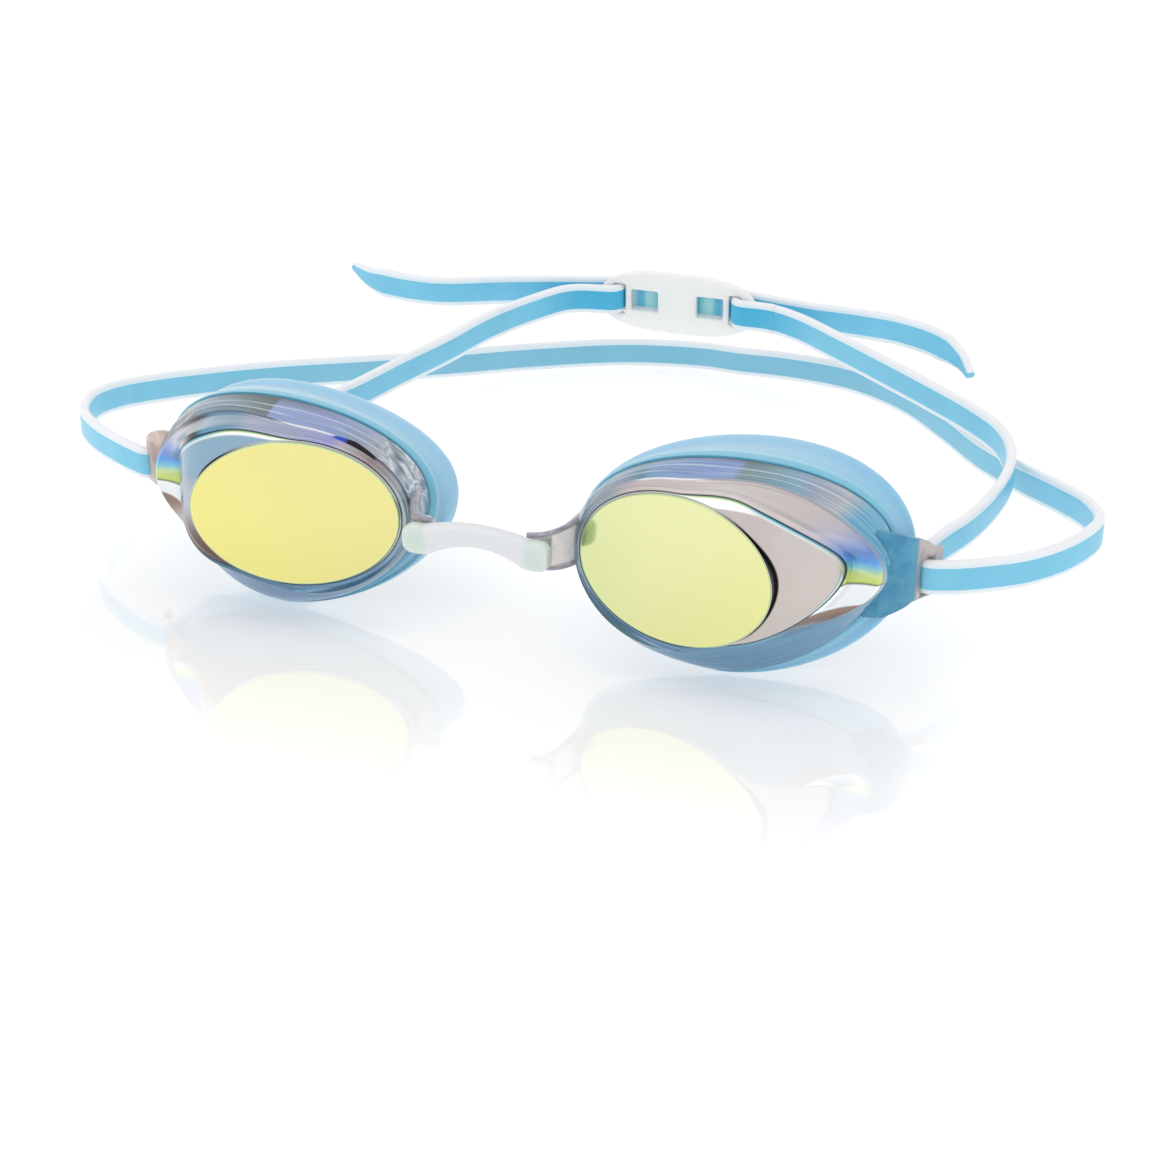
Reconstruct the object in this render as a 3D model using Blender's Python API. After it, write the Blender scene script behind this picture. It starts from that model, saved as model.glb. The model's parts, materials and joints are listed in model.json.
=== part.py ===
"""Swim goggles: two moulded eyecups with mirrored windows and soft seals, a
flexible nose bridge, and one elastic strap that runs round two temple bars
and is gathered by a clip at the back of the head.

Axes: +X across the face, -Y the way the wearer looks, +Z up. Left is -X, as
seen from the front. The origin is the middle of the footprint, on the surface
that the goggles lie on. Shapes are drawn in millimetres about the point half
way between the two window centres, and place() moves them to the origin.
"""

import math

import bmesh
import bpy
import numpy as np
from mathutils import Vector

MM = 0.001
DATUM_Y = -65.9          # where the drawing point lies from the origin, in y
DATUM_Z = 21.3           # and its height above the surface
RING_POINTS = 56
TURNS = [2 * math.pi * i / RING_POINTS for i in range(RING_POINTS)]
GAP = 0.3                # between pieces that touch

# Window: a raised flat oval, and a side window that curves back to the temple.
OVAL_X = 33.56
OVAL_HALF_W = 18.0
OVAL_HALF_H = 12.84
OVAL_TOE_IN = math.radians(14.3)
OVAL_LEAN = math.radians(4.2)
OVAL_ROLL = math.radians(4.4)
OVAL_RAISE = 0.45        # the oval stands this far proud of the side window
SIDE_START_X = 46.0      # the side window starts to curve back here
SIDE_CURVE = 0.08
LENS_THICK = 1.6
LENS_BED = 2.2           # depth of the pocket that the window drops into
LEDGE_THICK = 1.2
LEDGE_WIDTH = 1.3

# Outlines of the window's edge and of the shell round it. They follow the oval on the nose
# side. To the temple they reach further by "reach" and droop by "droop", and swell by
# "swell" above and "low_swell" below.
WINDOW_EDGE = dict(margin=0.35, taller=0.0, reach=8.9, swell=0.9, low_swell=-0.4, droop=1.9)
BEZEL_EDGE = dict(margin=1.35, taller=0.2, reach=13.1, swell=0.4, low_swell=-0.2, droop=2.3)
SHELL_EDGE = dict(margin=1.7, taller=0.2, reach=13.7, swell=0.4, low_swell=-0.2, droop=2.4)
SHELL_MIDDLE = (41.0, 0.3)
SHELL_HALF = (26.0, 15.0)
SHELL_DEPTH = dict(y=1.9, lean=2.15, sweep=3.2, bow=6.9)
BEZEL_DEPTH = {**SHELL_DEPTH, "y": 1.3}

# Outlines of the rim and the seal: ovals whose depth leans with height, sweeps with width
# and bows back at both ends.
RIM_RING = dict(x=40.0, z=-0.8, half_w=26.2, half_h=16.8, y=7.4, lean=3.4, sweep=2.5, bow=7.0)
SEAL_RING = dict(x=39.1, z=-2.6, half_w=28.1, half_h=18.7, tilt=-0.8, flare=0.12, y=14.0,
                 lean=6.7, sweep=2.9, bow=5.4)

TONGUE_DEPTH = 2.0
TONGUE_STEP = 0.9
TONGUE_THICK = 1.2
SEAL_LIP = 4.2

# Temple tab, its strap slot, and the bar that the strap turns round.
TEMPLE_PATH = ((62.2, 8.4, 0.0), (65.4, 10.6, -0.4), (67.9, 13.2, -1.4), (69.8, 16.2, -2.7),
               (71.2, 19.0, -3.7), (72.4, 22.0, -3.9))
TEMPLE_HEIGHTS = (15.5, 15.3, 13.0, 10.4, 9.0, 8.0)
TAB_THICK = 1.5
BAR_X = 71.9
BAR_Y = 20.9
BAR_Z = -3.9
SLOT_HEIGHT = 6.9
TEMPLE_SLOT_LENGTH = 3.0
BAR_RADIUS = 0.95

# Nose tab and bridge.
NOSE_PATH = ((15.0, 9.8, -1.0), (13.9, 5.6, -0.9), (12.4, 2.3, -0.5), (10.6, 0.6, -0.2),
             (8.4, 0.55, -0.2))
NOSE_HEIGHTS = (9.0, 8.2, 7.0, 6.4, 5.4)
PIVOT_X = 10.8
PIVOT_Y = 0.6
PIVOT_Z = -0.2
NOSE_SLOT = (2.7, 4.3)
BRIDGE_PEG = (1.3, 3.4)
BRIDGE_CATCH = (1.9, 3.9)
BRIDGE_CLEAR = 0.5
BRIDGE_THICK = 2.3
BRIDGE_END_HEIGHT = 5.2
BRIDGE_MID_HEIGHT = 3.8
BRIDGE_RISE = 1.9

# Strap: one elastic band on edge.
STRAP_WIDTH = 6.1
STRAP_THICK = 1.8
TURN_RADIUS = 2.6        # of the band's centre line round a temple bar
CLIP_X = 0.6
CLIP_Y = 113.4
CLIP_Z = 1.5
CLIP_LENGTH = 34.0
CLIP_HEIGHT = 12.8
CLIP_THICK = 1.8
CLIP_BLUNT = 0.625       # below 1, the oval's ends are blunter
CLIP_WINDOW = (4.0, 9.4)
CLIP_SLOT = (10.9, 13.7)
CLIP_SLOT_HEIGHT = 6.5

# Routes of the band's centre line, from the temple bar on.
RIGHT_REAR = ((76.5, 19.5, -3.8), (81.0, 20.9, -3.3), (86.5, 23.4, -2.7), (91.5, 27.8, -2.1),
              (95.0, 33.6, -1.7), (96.4, 39.8, -1.7), (94.0, 46.7, -2.2), (88.2, 55.4, -3.8),
              (80.2, 66.6, -6.4), (70.2, 80.6, -9.0), (60.6, 94.4, -10.0), (49.4, 109.0, -11.3),
              (36.0, 120.9, -13.3), (21.5, 128.6, -15.6), (9.0, 133.0, -17.5))
LEFT_REAR = ((-76.5, 20.0, -3.8), (-81.0, 22.6, -3.9), (-87.0, 27.0, -4.3), (-93.4, 34.1, -4.9),
             (-96.4, 43.3, -5.7), (-95.4, 51.6, -6.9), (-92.1, 60.9, -8.7), (-85.2, 73.5, -11.1),
             (-75.6, 86.3, -13.4), (-62.6, 98.2, -15.2), (-49.1, 109.9, -16.7),
             (-34.9, 121.3, -17.7), (-16.0, 131.6, -18.1))
REAR_MIDDLE = (134.9, -18.15)   # y and z of the band at the back of the head
RIGHT_UPPER = ((70.2, 24.4, -3.8), (72.0, 29.5, -3.4), (74.9, 36.5, -3.1), (77.2, 45.9, -2.9),
               (78.4, 55.8, -2.3), (77.5, 64.3, -1.7), (74.2, 71.4, -1.1), (68.2, 77.8, -0.7),
               (59.1, 85.6, -0.4), (47.2, 95.1, 0.0), (37.0, 102.4, 0.6), (27.5, 108.7, 1.2),
               (21.0, 110.9, 1.6))
LEFT_UPPER = ((-69.4, 24.4, -3.8), (-67.4, 29.0, -3.5), (-61.5, 36.0, -3.2), (-53.1, 44.6, -3.0),
              (-48.2, 55.1, -2.8), (-43.2, 69.3, -2.2), (-38.4, 81.3, -1.5), (-33.7, 93.5, -0.4),
              (-27.6, 103.0, 0.7), (-21.5, 109.2, 1.5))
RIGHT_TAIL = ((21.0, 116.6, 1.2), (29.0, 115.9, 1.0), (37.5, 116.0, 0.8), (47.0, 115.7, 0.3),
              (55.4, 114.0, -1.0), (60.4, 111.4, -2.9), (62.7, 108.4, -4.4))
LEFT_TAIL = ((-20.0, 116.1, 1.2), (-26.5, 113.7, 1.4), (-36.9, 109.6, 1.5), (-48.5, 104.6, 1.6),
             (-57.5, 104.0, 1.9), (-63.8, 104.9, 2.5), (-69.3, 108.0, 3.6))
TAIL_TIP = 9.0           # length over which a tail narrows to its cut end


def place(point):
    x, y, z = point
    return Vector((x * MM, (y + DATUM_Y) * MM, (z + DATUM_Z) * MM))


def material(name, colour, roughness, metallic=0.0, transmission=0.0):
    made = bpy.data.materials.new(name)
    made.use_nodes = True
    shader = made.node_tree.nodes["Principled BSDF"]
    shader.inputs["Base Color"].default_value = (*colour, 1.0)
    shader.inputs["Roughness"].default_value = roughness
    shader.inputs["Metallic"].default_value = metallic
    shader.inputs["Transmission Weight"].default_value = transmission
    return made


def add_object(name, bm, finish):
    bmesh.ops.recalc_face_normals(bm, faces=bm.faces)
    mesh = bpy.data.meshes.new(name)
    bm.to_mesh(mesh)
    bm.free()
    mesh.materials.append(finish)
    mesh.shade_smooth()
    mesh.set_sharp_from_angle(angle=math.radians(35))
    made = bpy.data.objects.new(name, mesh)
    bpy.context.scene.collection.objects.link(made)
    return made


def helper(obj):
    obj.hide_render = True
    obj.display_type = "WIRE"
    return obj


def boolean(obj, operation, other):
    modifier = obj.modifiers.new(other.name, "BOOLEAN")
    modifier.operation = operation
    modifier.solver = "EXACT"
    modifier.object = helper(other)


def loft(rings, around):
    """Joins rings of equal length into a tube. around=True closes the last ring onto the
    first; otherwise each end is filled."""
    bm = bmesh.new()
    rows = [[bm.verts.new(place(p)) for p in ring] for ring in rings]
    count = len(rows[0])
    last = len(rows) if around else len(rows) - 1
    for i in range(last):
        here = rows[i]
        there = rows[(i + 1) % len(rows)]
        for j in range(count):
            k = (j + 1) % count
            bm.faces.new((here[j], here[k], there[k], there[j]))
    if not around:
        bm.faces.new(rows[0])
        bm.faces.new(rows[-1])
    return bm


def smooth_route(points, step=2.4):
    """A centripetal curve through the points, read at about this spacing."""
    p = [np.array(q, float) for q in points]
    p = [2 * p[0] - p[1], *p, 2 * p[-1] - p[-2]]
    out = []
    for a, b, c, d in zip(p, p[1:], p[2:], p[3:]):
        t1 = np.linalg.norm(b - a) ** 0.5
        t2 = t1 + np.linalg.norm(c - b) ** 0.5
        t3 = t2 + np.linalg.norm(d - c) ** 0.5
        pieces = max(1, round(np.linalg.norm(c - b) / step))
        for t in np.linspace(t1, t2, pieces, endpoint=False):
            ab = a + (b - a) * t / t1
            bc = b + (c - b) * (t - t1) / (t2 - t1)
            cd = c + (d - c) * (t - t2) / (t3 - t2)
            abc = ab + (bc - ab) * t / t2
            bcd = bc + (cd - bc) * (t - t1) / (t3 - t1)
            out.append(abc + (bcd - abc) * (t - t1) / (t2 - t1))
    out.append(p[-2])
    return np.array(out)


def band(route, heights, thick):
    """Sections of a flat band on edge: its width stands up, square to the route."""
    sections = []
    ahead = np.gradient(route, axis=0)
    for centre, direction, height in zip(route, ahead, heights):
        direction = direction / np.linalg.norm(direction)
        side = np.cross(direction, (0.0, 0.0, 1.0))
        side = side / np.linalg.norm(side)
        up = np.cross(side, direction)
        out = side * thick / 2
        half = up * height / 2
        sections.append([centre - out - half, centre + out - half,
                         centre + out + half, centre - out + half])
    return sections


def depth(rule, u, w):
    return rule["y"] + rule["lean"] * w + rule["sweep"] * u + rule["bow"] * u * u


def window_depth(x, z):
    curve = SIDE_CURVE * max(0.0, x - SIDE_START_X) ** 2
    return (OVAL_X - x) * math.tan(OVAL_TOE_IN) + z * math.tan(OVAL_LEAN) + curve


def shell_depth(rule, x, z):
    return depth(rule, (x - SHELL_MIDDLE[0]) / SHELL_HALF[0], (z - SHELL_MIDDLE[1]) / SHELL_HALF[1])


def oval_plane(a, b):
    """x and z of a point given along and across the tilted oval."""
    x = OVAL_X + (a * math.cos(OVAL_ROLL) - b * math.sin(OVAL_ROLL)) * math.cos(OVAL_TOE_IN)
    return x, a * math.sin(OVAL_ROLL) + b * math.cos(OVAL_ROLL)


def edge_outline(edge, turn, grow):
    """x and z on an outline that follows the oval and reaches out to the temple."""
    ahead = max(math.cos(turn), 0.0) ** 2
    wide = OVAL_HALF_W + edge["margin"] + grow
    tall = OVAL_HALF_H + edge["margin"] + edge["taller"] + grow
    a = wide * math.cos(turn) + edge["reach"] * ahead
    swell = edge["swell"] if math.sin(turn) > 0 else edge["low_swell"]
    b = tall * math.sin(turn) * (1 + swell * ahead * (1 - ahead))
    return oval_plane(a, b - edge["droop"] * ahead * ahead)


def edge_ring(edge, depth_rule, grow=0.0, back=0.0):
    ring = []
    for turn in TURNS:
        x, z = edge_outline(edge, turn, grow)
        y = shell_depth(depth_rule, x, z) if depth_rule else window_depth(x, z)
        ring.append((x, y + back, z))
    return ring


def window_ring(grow=0.0, back=0.0):
    return edge_ring(WINDOW_EDGE, None, grow, back)


def oval_ring(scale, grow, back):
    """The raised oval's outline, in its own plane."""
    ring = []
    for turn in TURNS:
        x, z = oval_plane((OVAL_HALF_W * scale + grow) * math.cos(turn),
                          (OVAL_HALF_H * scale + grow) * math.sin(turn))
        y = (OVAL_X - x) * math.tan(OVAL_TOE_IN) + z * math.tan(OVAL_LEAN)
        ring.append((x, y + back, z))
    return ring


def rim_ring(rule, grow=0.0, back=0.0):
    ring = []
    for turn in TURNS:
        u, w = math.cos(turn), math.sin(turn)
        x = rule["x"] + (rule["half_w"] + grow) * u
        flare = 1 + rule.get("flare", 0.0) * u
        z = rule["z"] + rule.get("tilt", 0.0) * u + (rule["half_h"] + grow) * w * flare
        ring.append((x, depth(rule, u, w) + back, z))
    return ring


def mixed(first, second, share):
    """The rim outline part of the way from one to another."""
    keys = ("x", "z", "half_w", "half_h", "y", "lean", "sweep", "bow", "tilt", "flare")
    return {k: (1 - share) * first.get(k, 0.0) + share * second.get(k, 0.0) for k in keys}


def on_side(rings, side):
    return [[(side * x, y, z) for x, y, z in ring] for ring in rings]


def lens(name, side, finish):
    foot = [(x, window_depth(x, z), z) for x, _, z in oval_ring(1.0, 0.1, 0.0)]
    edge = window_ring()
    middle = []
    for (x0, _, z0), (x1, _, z1) in zip(foot, edge):
        x, z = (x0 + x1) / 2, (z0 + z1) / 2
        middle.append((x, window_depth(x, z), z))
    rings = [oval_ring(0.55, 0.0, -OVAL_RAISE), oval_ring(1.0, 0.0, -OVAL_RAISE), foot, middle,
             edge, window_ring(back=LENS_THICK), shifted(middle, LENS_THICK),
             shifted(foot, LENS_THICK), oval_ring(0.7, 0.0, LENS_THICK)]
    return add_object(name, loft(on_side(rings, side), around=False), finish)


def shifted(ring, back):
    return [(x, y + back, z) for x, y, z in ring]


def box_cutter(name, centre, size, turn=0.0):
    bm = bmesh.new()
    bmesh.ops.create_cube(bm, size=1.0)
    for vert in bm.verts:
        x, y, z = (c * s for c, s in zip(vert.co, size))
        vert.co = place((centre[0] + x * math.cos(turn) - y * math.sin(turn),
                         centre[1] + x * math.sin(turn) + y * math.cos(turn), centre[2] + z))
    return add_object(name, bm, CLEAR)


def tab(name, path, heights, side):
    """A flat tongue that grows from the cup along a route, wide at its root."""
    route = smooth_route([(side * x, y, z) for x, y, z in path], step=1.2)
    spots = np.linspace(0, 1, len(path))
    tall = np.interp(np.linspace(0, 1, len(route)), spots, heights)
    return add_object(name, loft(band(route, tall, TAB_THICK), around=False), CLEAR)


def frame(name, side, finish):
    step = -TONGUE_STEP
    rings = [window_ring(GAP, -0.05), window_ring(GAP + 0.4, -0.05),
             edge_ring(BEZEL_EDGE, BEZEL_DEPTH), edge_ring(SHELL_EDGE, SHELL_DEPTH),
             rim_ring(RIM_RING), rim_ring(RIM_RING, step, 0.2), rim_ring(RIM_RING, step, TONGUE_DEPTH),
             rim_ring(RIM_RING, step - TONGUE_THICK, TONGUE_DEPTH),
             window_ring(-LEDGE_WIDTH, LENS_BED + LEDGE_THICK), window_ring(-LEDGE_WIDTH, LENS_BED),
             window_ring(GAP, LENS_BED)]
    cup = add_object(name, loft(on_side(rings, side), around=True), finish)
    boolean(cup, "UNION", tab(name + "_temple_tab", TEMPLE_PATH, TEMPLE_HEIGHTS, side))
    boolean(cup, "UNION", tab(name + "_nose_tab", NOSE_PATH, NOSE_HEIGHTS, side))
    slot_y = BAR_Y - BAR_RADIUS - TEMPLE_SLOT_LENGTH / 2
    boolean(cup, "DIFFERENCE",
            box_cutter(name + "_strap_slot", (side * (BAR_X - 1.0), slot_y, BAR_Z),
                       (6.0, TEMPLE_SLOT_LENGTH, SLOT_HEIGHT)))
    boolean(cup, "DIFFERENCE",
            box_cutter(name + "_nose_slot", (side * PIVOT_X, PIVOT_Y, PIVOT_Z),
                       (NOSE_SLOT[0], 5.0, NOSE_SLOT[1])))
    return cup


def gasket(name, side, finish):
    waist = mixed(RIM_RING, SEAL_RING, 0.4)
    inner = mixed(RIM_RING, SEAL_RING, 0.6)
    tongue = 0.35 - TONGUE_STEP
    rings = [rim_ring(RIM_RING, tongue, 0.5), rim_ring(RIM_RING, 0.25, 0.5), rim_ring(waist, 0.2),
             rim_ring(SEAL_RING, -0.5, -2.2), rim_ring(SEAL_RING), rim_ring(SEAL_RING, -0.7, 1.9),
             rim_ring(SEAL_RING, -2.4, 2.8), rim_ring(SEAL_RING, -SEAL_LIP, 1.9),
             rim_ring(inner, -3.4, 1.6), rim_ring(RIM_RING, -2.5, TONGUE_DEPTH + 0.4),
             rim_ring(RIM_RING, tongue, TONGUE_DEPTH + 0.35)]
    return add_object(name, loft(on_side(rings, side), around=True), finish)


def nose_bridge(finish):
    """A bowed bar that lies in front of both nose tabs, with a peg and a catch at each end."""
    front = PIVOT_Y - TAB_THICK / 2 - BRIDGE_CLEAR
    end_x = PIVOT_X + 1.9
    spots = np.linspace(-1, 1, 21)
    sections = []
    for s in spots:
        x = end_x * s
        bow = 1 - min(1.0, abs(x) / (PIVOT_X - 1.6)) ** 2
        tall = BRIDGE_MID_HEIGHT + (BRIDGE_END_HEIGHT - BRIDGE_MID_HEIGHT) * (1 - bow)
        z = PIVOT_Z + BRIDGE_RISE * bow
        round_end = math.sqrt(max(0.0, 1 - max(0.0, abs(s) - 0.88) ** 2 / 0.12 ** 2 * 0.6))
        tall = tall * round_end
        back_y = front + 0.2 * bow
        sections.append([(x, back_y - BRIDGE_THICK, z - tall / 2), (x, back_y, z - tall / 2),
                         (x, back_y, z + tall / 2), (x, back_y - BRIDGE_THICK, z + tall / 2)])
    bridge = add_object("nose_bridge", loft(sections, around=False), finish)
    back = PIVOT_Y + TAB_THICK / 2 + BRIDGE_CLEAR
    for side, label in ((-1, "left"), (1, "right")):
        peg = box_cutter("bridge_peg_" + label,
                         (side * PIVOT_X, (front + back) / 2 + 0.3, PIVOT_Z),
                         (BRIDGE_PEG[0], back - front + 1.6, BRIDGE_PEG[1]))
        catch = box_cutter("bridge_catch_" + label, (side * PIVOT_X, back + 0.6, PIVOT_Z),
                           (BRIDGE_CATCH[0], 1.2, BRIDGE_CATCH[1]))
        boolean(bridge, "UNION", peg)
        boolean(bridge, "UNION", catch)
    return bridge


def clip(finish):
    """A thin oval plate with a slot and a window on each side."""
    count = 48
    front = []
    back = []
    for i in range(count):
        turn = 2 * math.pi * i / count
        x = CLIP_LENGTH / 2 * math.copysign(abs(math.cos(turn)) ** CLIP_BLUNT, math.cos(turn))
        z = CLIP_HEIGHT / 2 * math.sin(turn)
        front.append((CLIP_X + x, CLIP_Y - CLIP_THICK / 2, CLIP_Z + z))
        back.append((CLIP_X + x, CLIP_Y + CLIP_THICK / 2, CLIP_Z + z))
    plate = add_object("strap_clip", loft([front, back], around=False), finish)
    for side, label in ((-1, "left"), (1, "right")):
        for kind, (near, far) in (("window", CLIP_WINDOW), ("slot", CLIP_SLOT)):
            cutter = box_cutter(f"clip_{kind}_{label}",
                                (CLIP_X + side * (near + far) / 2, CLIP_Y, CLIP_Z),
                                (far - near, 6.0, CLIP_SLOT_HEIGHT))
            boolean(plate, "DIFFERENCE", cutter)
    return plate


def bar_turn(side, first, last, pieces):
    """Points of the band's centre line round a temple bar, by angle from the outside."""
    points = []
    for turn in np.radians(np.linspace(first, last, pieces)):
        points.append((side * (BAR_X + TURN_RADIUS * math.cos(turn)),
                       BAR_Y + TURN_RADIUS * math.sin(turn), BAR_Z))
    return points


def rear_straps(finish):
    """From one temple slot round the back of the head to the other, as two halves."""
    middle = [(x, *REAR_MIDDLE) for x in (-GAP / 2, GAP / 2)]
    left = [*bar_turn(-1, -121, -75, 4), *LEFT_REAR]
    right = [*bar_turn(1, -121, -75, 4), *RIGHT_REAR]
    points = smooth_route([*left, *middle, *reversed(right)])
    sections = band(points, [STRAP_WIDTH] * len(points), STRAP_THICK)
    halves = {"left_rear_strap": [s for s, p in zip(sections, points) if p[0] < 0],
              "right_rear_strap": [s for s, p in zip(sections, points) if p[0] > 0]}
    for name, half in halves.items():
        add_object(name, loft(half, around=False), finish)


def arc(centre, radius, first, last, pieces):
    """Points on an arc in x and y, at the clip's height."""
    angles = np.radians(np.linspace(first, last, pieces))
    return [(centre[0] + radius * math.cos(a), centre[1] + radius * math.sin(a), CLIP_Z)
            for a in angles]


def clip_route():
    """The right band's way in front of the clip's end, through its slot, along its back as
    far as the window, and out again behind itself."""
    layer = CLIP_THICK / 2 + GAP + STRAP_THICK / 2
    slot_x = CLIP_X + sum(CLIP_SLOT) / 2
    fold = (STRAP_THICK + GAP) / 2
    fold_x = CLIP_X + sum(CLIP_WINDOW) / 2
    fold_y = CLIP_Y + layer + fold
    down = arc((slot_x + layer, CLIP_Y), layer, 270, 180, 4)
    under = arc((slot_x - layer, CLIP_Y), layer, 0, 90, 4)
    back = arc((fold_x, fold_y), fold, 270, 90, 5)
    return [*down, *under[1:], *back, (slot_x, fold_y + fold, CLIP_Z)]


def upper_strap(name, side, route, tail, finish):
    """From the temple slot to the clip, through its slot, and back out as a free tail."""
    through = [(CLIP_X + side * (x - CLIP_X), y, z) for x, y, z in clip_route()]
    points = smooth_route([*bar_turn(side, -133, -185, 4), *route, *through, *tail])
    steps = np.linalg.norm(np.diff(points, axis=0), axis=1)
    to_end = np.concatenate([np.cumsum(steps[::-1])[::-1], [0.0]])
    tall = STRAP_WIDTH * np.clip(0.3 + 0.7 * to_end / TAIL_TIP, 0.3, 1.0)
    return add_object(name, loft(band(points, tall, STRAP_THICK), around=False), finish)


def clear_scene():
    for obj in list(bpy.data.objects):
        bpy.data.objects.remove(obj, do_unlink=True)


clear_scene()
CLEAR = material("clear_polycarbonate", (0.75, 0.82, 0.86), 0.08, 0.0, 0.8)
MIRROR = material("mirror_coating", (0.93, 0.9, 0.55), 0.05, 1.0)
SILICONE = material("blue_silicone", (0.38, 0.68, 0.85), 0.35, 0.0, 0.3)
FROSTED = material("frosted_plastic", (0.87, 0.88, 0.9), 0.4, 0.0, 0.4)
ELASTIC = material("strap_elastic", (0.45, 0.75, 0.87), 0.4)

for cup_side, cup_name in ((-1, "left"), (1, "right")):
    lens(cup_name + "_lens", cup_side, MIRROR)
    frame(cup_name + "_frame", cup_side, CLEAR)
    gasket(cup_name + "_gasket", cup_side, SILICONE)
nose_bridge(FROSTED)
clip(FROSTED)
rear_straps(ELASTIC)
upper_strap("left_upper_strap", -1, LEFT_UPPER, LEFT_TAIL, ELASTIC)
upper_strap("right_upper_strap", 1, RIGHT_UPPER, RIGHT_TAIL, ELASTIC)
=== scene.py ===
"""Looks for the swim goggles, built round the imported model.

Every piece is drawn in millimetres about the point half way between the two
window centres: +X across the face, -Y the way the windows face, +Z up. place()
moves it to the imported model's frame. The cups' outlines and the strap's routes
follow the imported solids, drawn finer and with their real edges.
"""

import json
import math

import bmesh
import bpy
import numpy as np
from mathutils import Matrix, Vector


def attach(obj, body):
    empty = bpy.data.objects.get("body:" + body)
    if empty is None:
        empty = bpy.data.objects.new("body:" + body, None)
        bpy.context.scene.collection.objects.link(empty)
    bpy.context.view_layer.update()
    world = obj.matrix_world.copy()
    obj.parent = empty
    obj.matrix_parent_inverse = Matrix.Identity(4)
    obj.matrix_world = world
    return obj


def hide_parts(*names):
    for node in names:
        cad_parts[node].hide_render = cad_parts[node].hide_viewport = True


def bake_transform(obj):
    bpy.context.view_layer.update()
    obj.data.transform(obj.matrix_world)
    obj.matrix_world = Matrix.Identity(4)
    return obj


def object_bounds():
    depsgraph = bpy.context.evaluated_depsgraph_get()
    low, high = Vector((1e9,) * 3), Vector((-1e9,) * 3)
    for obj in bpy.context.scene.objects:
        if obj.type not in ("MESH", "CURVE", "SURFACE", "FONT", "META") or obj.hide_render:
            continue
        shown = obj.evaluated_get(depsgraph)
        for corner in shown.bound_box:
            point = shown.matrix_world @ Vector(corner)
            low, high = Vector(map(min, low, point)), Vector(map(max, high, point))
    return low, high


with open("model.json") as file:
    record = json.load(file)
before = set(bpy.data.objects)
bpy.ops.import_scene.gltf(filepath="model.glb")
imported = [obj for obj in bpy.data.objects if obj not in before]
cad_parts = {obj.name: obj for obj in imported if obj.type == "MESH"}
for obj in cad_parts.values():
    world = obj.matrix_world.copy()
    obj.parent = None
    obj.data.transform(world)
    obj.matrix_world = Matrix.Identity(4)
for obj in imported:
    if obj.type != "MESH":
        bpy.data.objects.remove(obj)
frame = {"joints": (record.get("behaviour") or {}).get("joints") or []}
CAD_BOX = [list(corner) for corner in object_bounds()]

MM = 0.001
HOOK = Vector((-10.8, 0.6, -0.2))        # the left hook of the bridge, as drawn
FOLD = next(j for j in frame["joints"] if j["name"] == "bridge_fold")
DATUM = Vector(FOLD["pos_m"]) - HOOK * MM
FLOOR_Z = CAD_BOX[0][2]

GAP = 0.3

# Window: a raised flat oval, and a side window that curves back to the temple.
OVAL_X = 33.56
OVAL_HALF_W = 18.0
OVAL_HALF_H = 12.84
OVAL_TOE_IN = math.radians(14.3)
OVAL_LEAN = math.radians(4.2)
OVAL_ROLL = math.radians(4.4)
OVAL_RAISE = 0.45
SIDE_START_X = 46.0
SIDE_CURVE = 0.08
LENS_THICK = 1.6
LENS_BED = 2.2
LEDGE_THICK = 1.2
LEDGE_WIDTH = 1.3

WINDOW_EDGE = dict(margin=0.35, taller=0.0, reach=8.9, swell=1.25, low_swell=-0.4, droop=1.9)
BEZEL_EDGE = dict(margin=1.35, taller=0.2, reach=13.1, swell=0.8, low_swell=-0.1, droop=3.4)
SHELL_EDGE = dict(margin=1.7, taller=0.2, reach=13.7, swell=0.8, low_swell=-0.1, droop=3.5)
SHELL_MIDDLE = (41.0, 0.3)
SHELL_HALF = (26.0, 15.0)
SHELL_DEPTH = dict(y=1.9, lean=2.15, sweep=3.2, bow=6.9)
BEZEL_DEPTH = {**SHELL_DEPTH, "y": 1.3}
RIM_RING = dict(x=40.0, z=-0.8, half_w=26.2, half_h=16.8, low=1.8, y=7.4, lean=3.4, sweep=2.5,
                bow=7.0)
SEAL_RING = dict(x=39.1, z=-2.6, half_w=28.1, half_h=18.7, low=-0.6, tilt=-0.8, flare=0.12,
                 lift=2.6, y=14.0, lean=6.7, sweep=2.9, bow=5.4)
SEAL_SHIFT = {-1: 0.5, 1: 1.6}
SEAL_TOP = {-1: 0.91, 1: 1.0}
TONGUE_DEPTH = 2.0
TONGUE_STEP = 0.9
TONGUE_THICK = 1.2
SEAL_LIP = 4.2

# Temple tab and its bar, and the nose tab.
TEMPLE_PATH = {
    "left": ((61.6, 12.7, -0.6), (65.4, 13.9, -0.5), (67.9, 15.2, -1.4), (69.8, 17.1, -2.3),
             (71.2, 19.4, -3.3), (72.5, 22.2, -3.6)),
    "right": ((61.6, 12.7, -2.6), (65.4, 13.9, -2.3), (67.9, 15.2, -2.3), (69.8, 17.1, -2.6),
              (71.2, 19.4, -3.5), (72.5, 22.2, -3.9))}
TEMPLE_HEIGHTS = {"left": (10.4, 11.4, 10.0, 8.6, 7.9, 7.4),
                  "right": (15.0, 16.0, 14.0, 11.6, 9.2, 8.0)}
TAB_THICK = 1.5
BAR = (71.9, 20.9, -3.9)
BAR_RADIUS = 0.95
SLOT_HEIGHT = 6.9
TEMPLE_SLOT_LENGTH = 3.0
NOSE_PATH = ((15.0, 9.8, -1.0), (13.9, 5.6, -0.9), (12.4, 2.3, -0.5), (10.6, 0.6, -0.2),
             (8.4, 0.55, -0.2))
NOSE_HEIGHTS = (9.0, 8.2, 7.0, 6.4, 5.4)
PIVOT = (10.8, 0.6, -0.2)
NOSE_SLOT = (2.7, 4.3)

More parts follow.
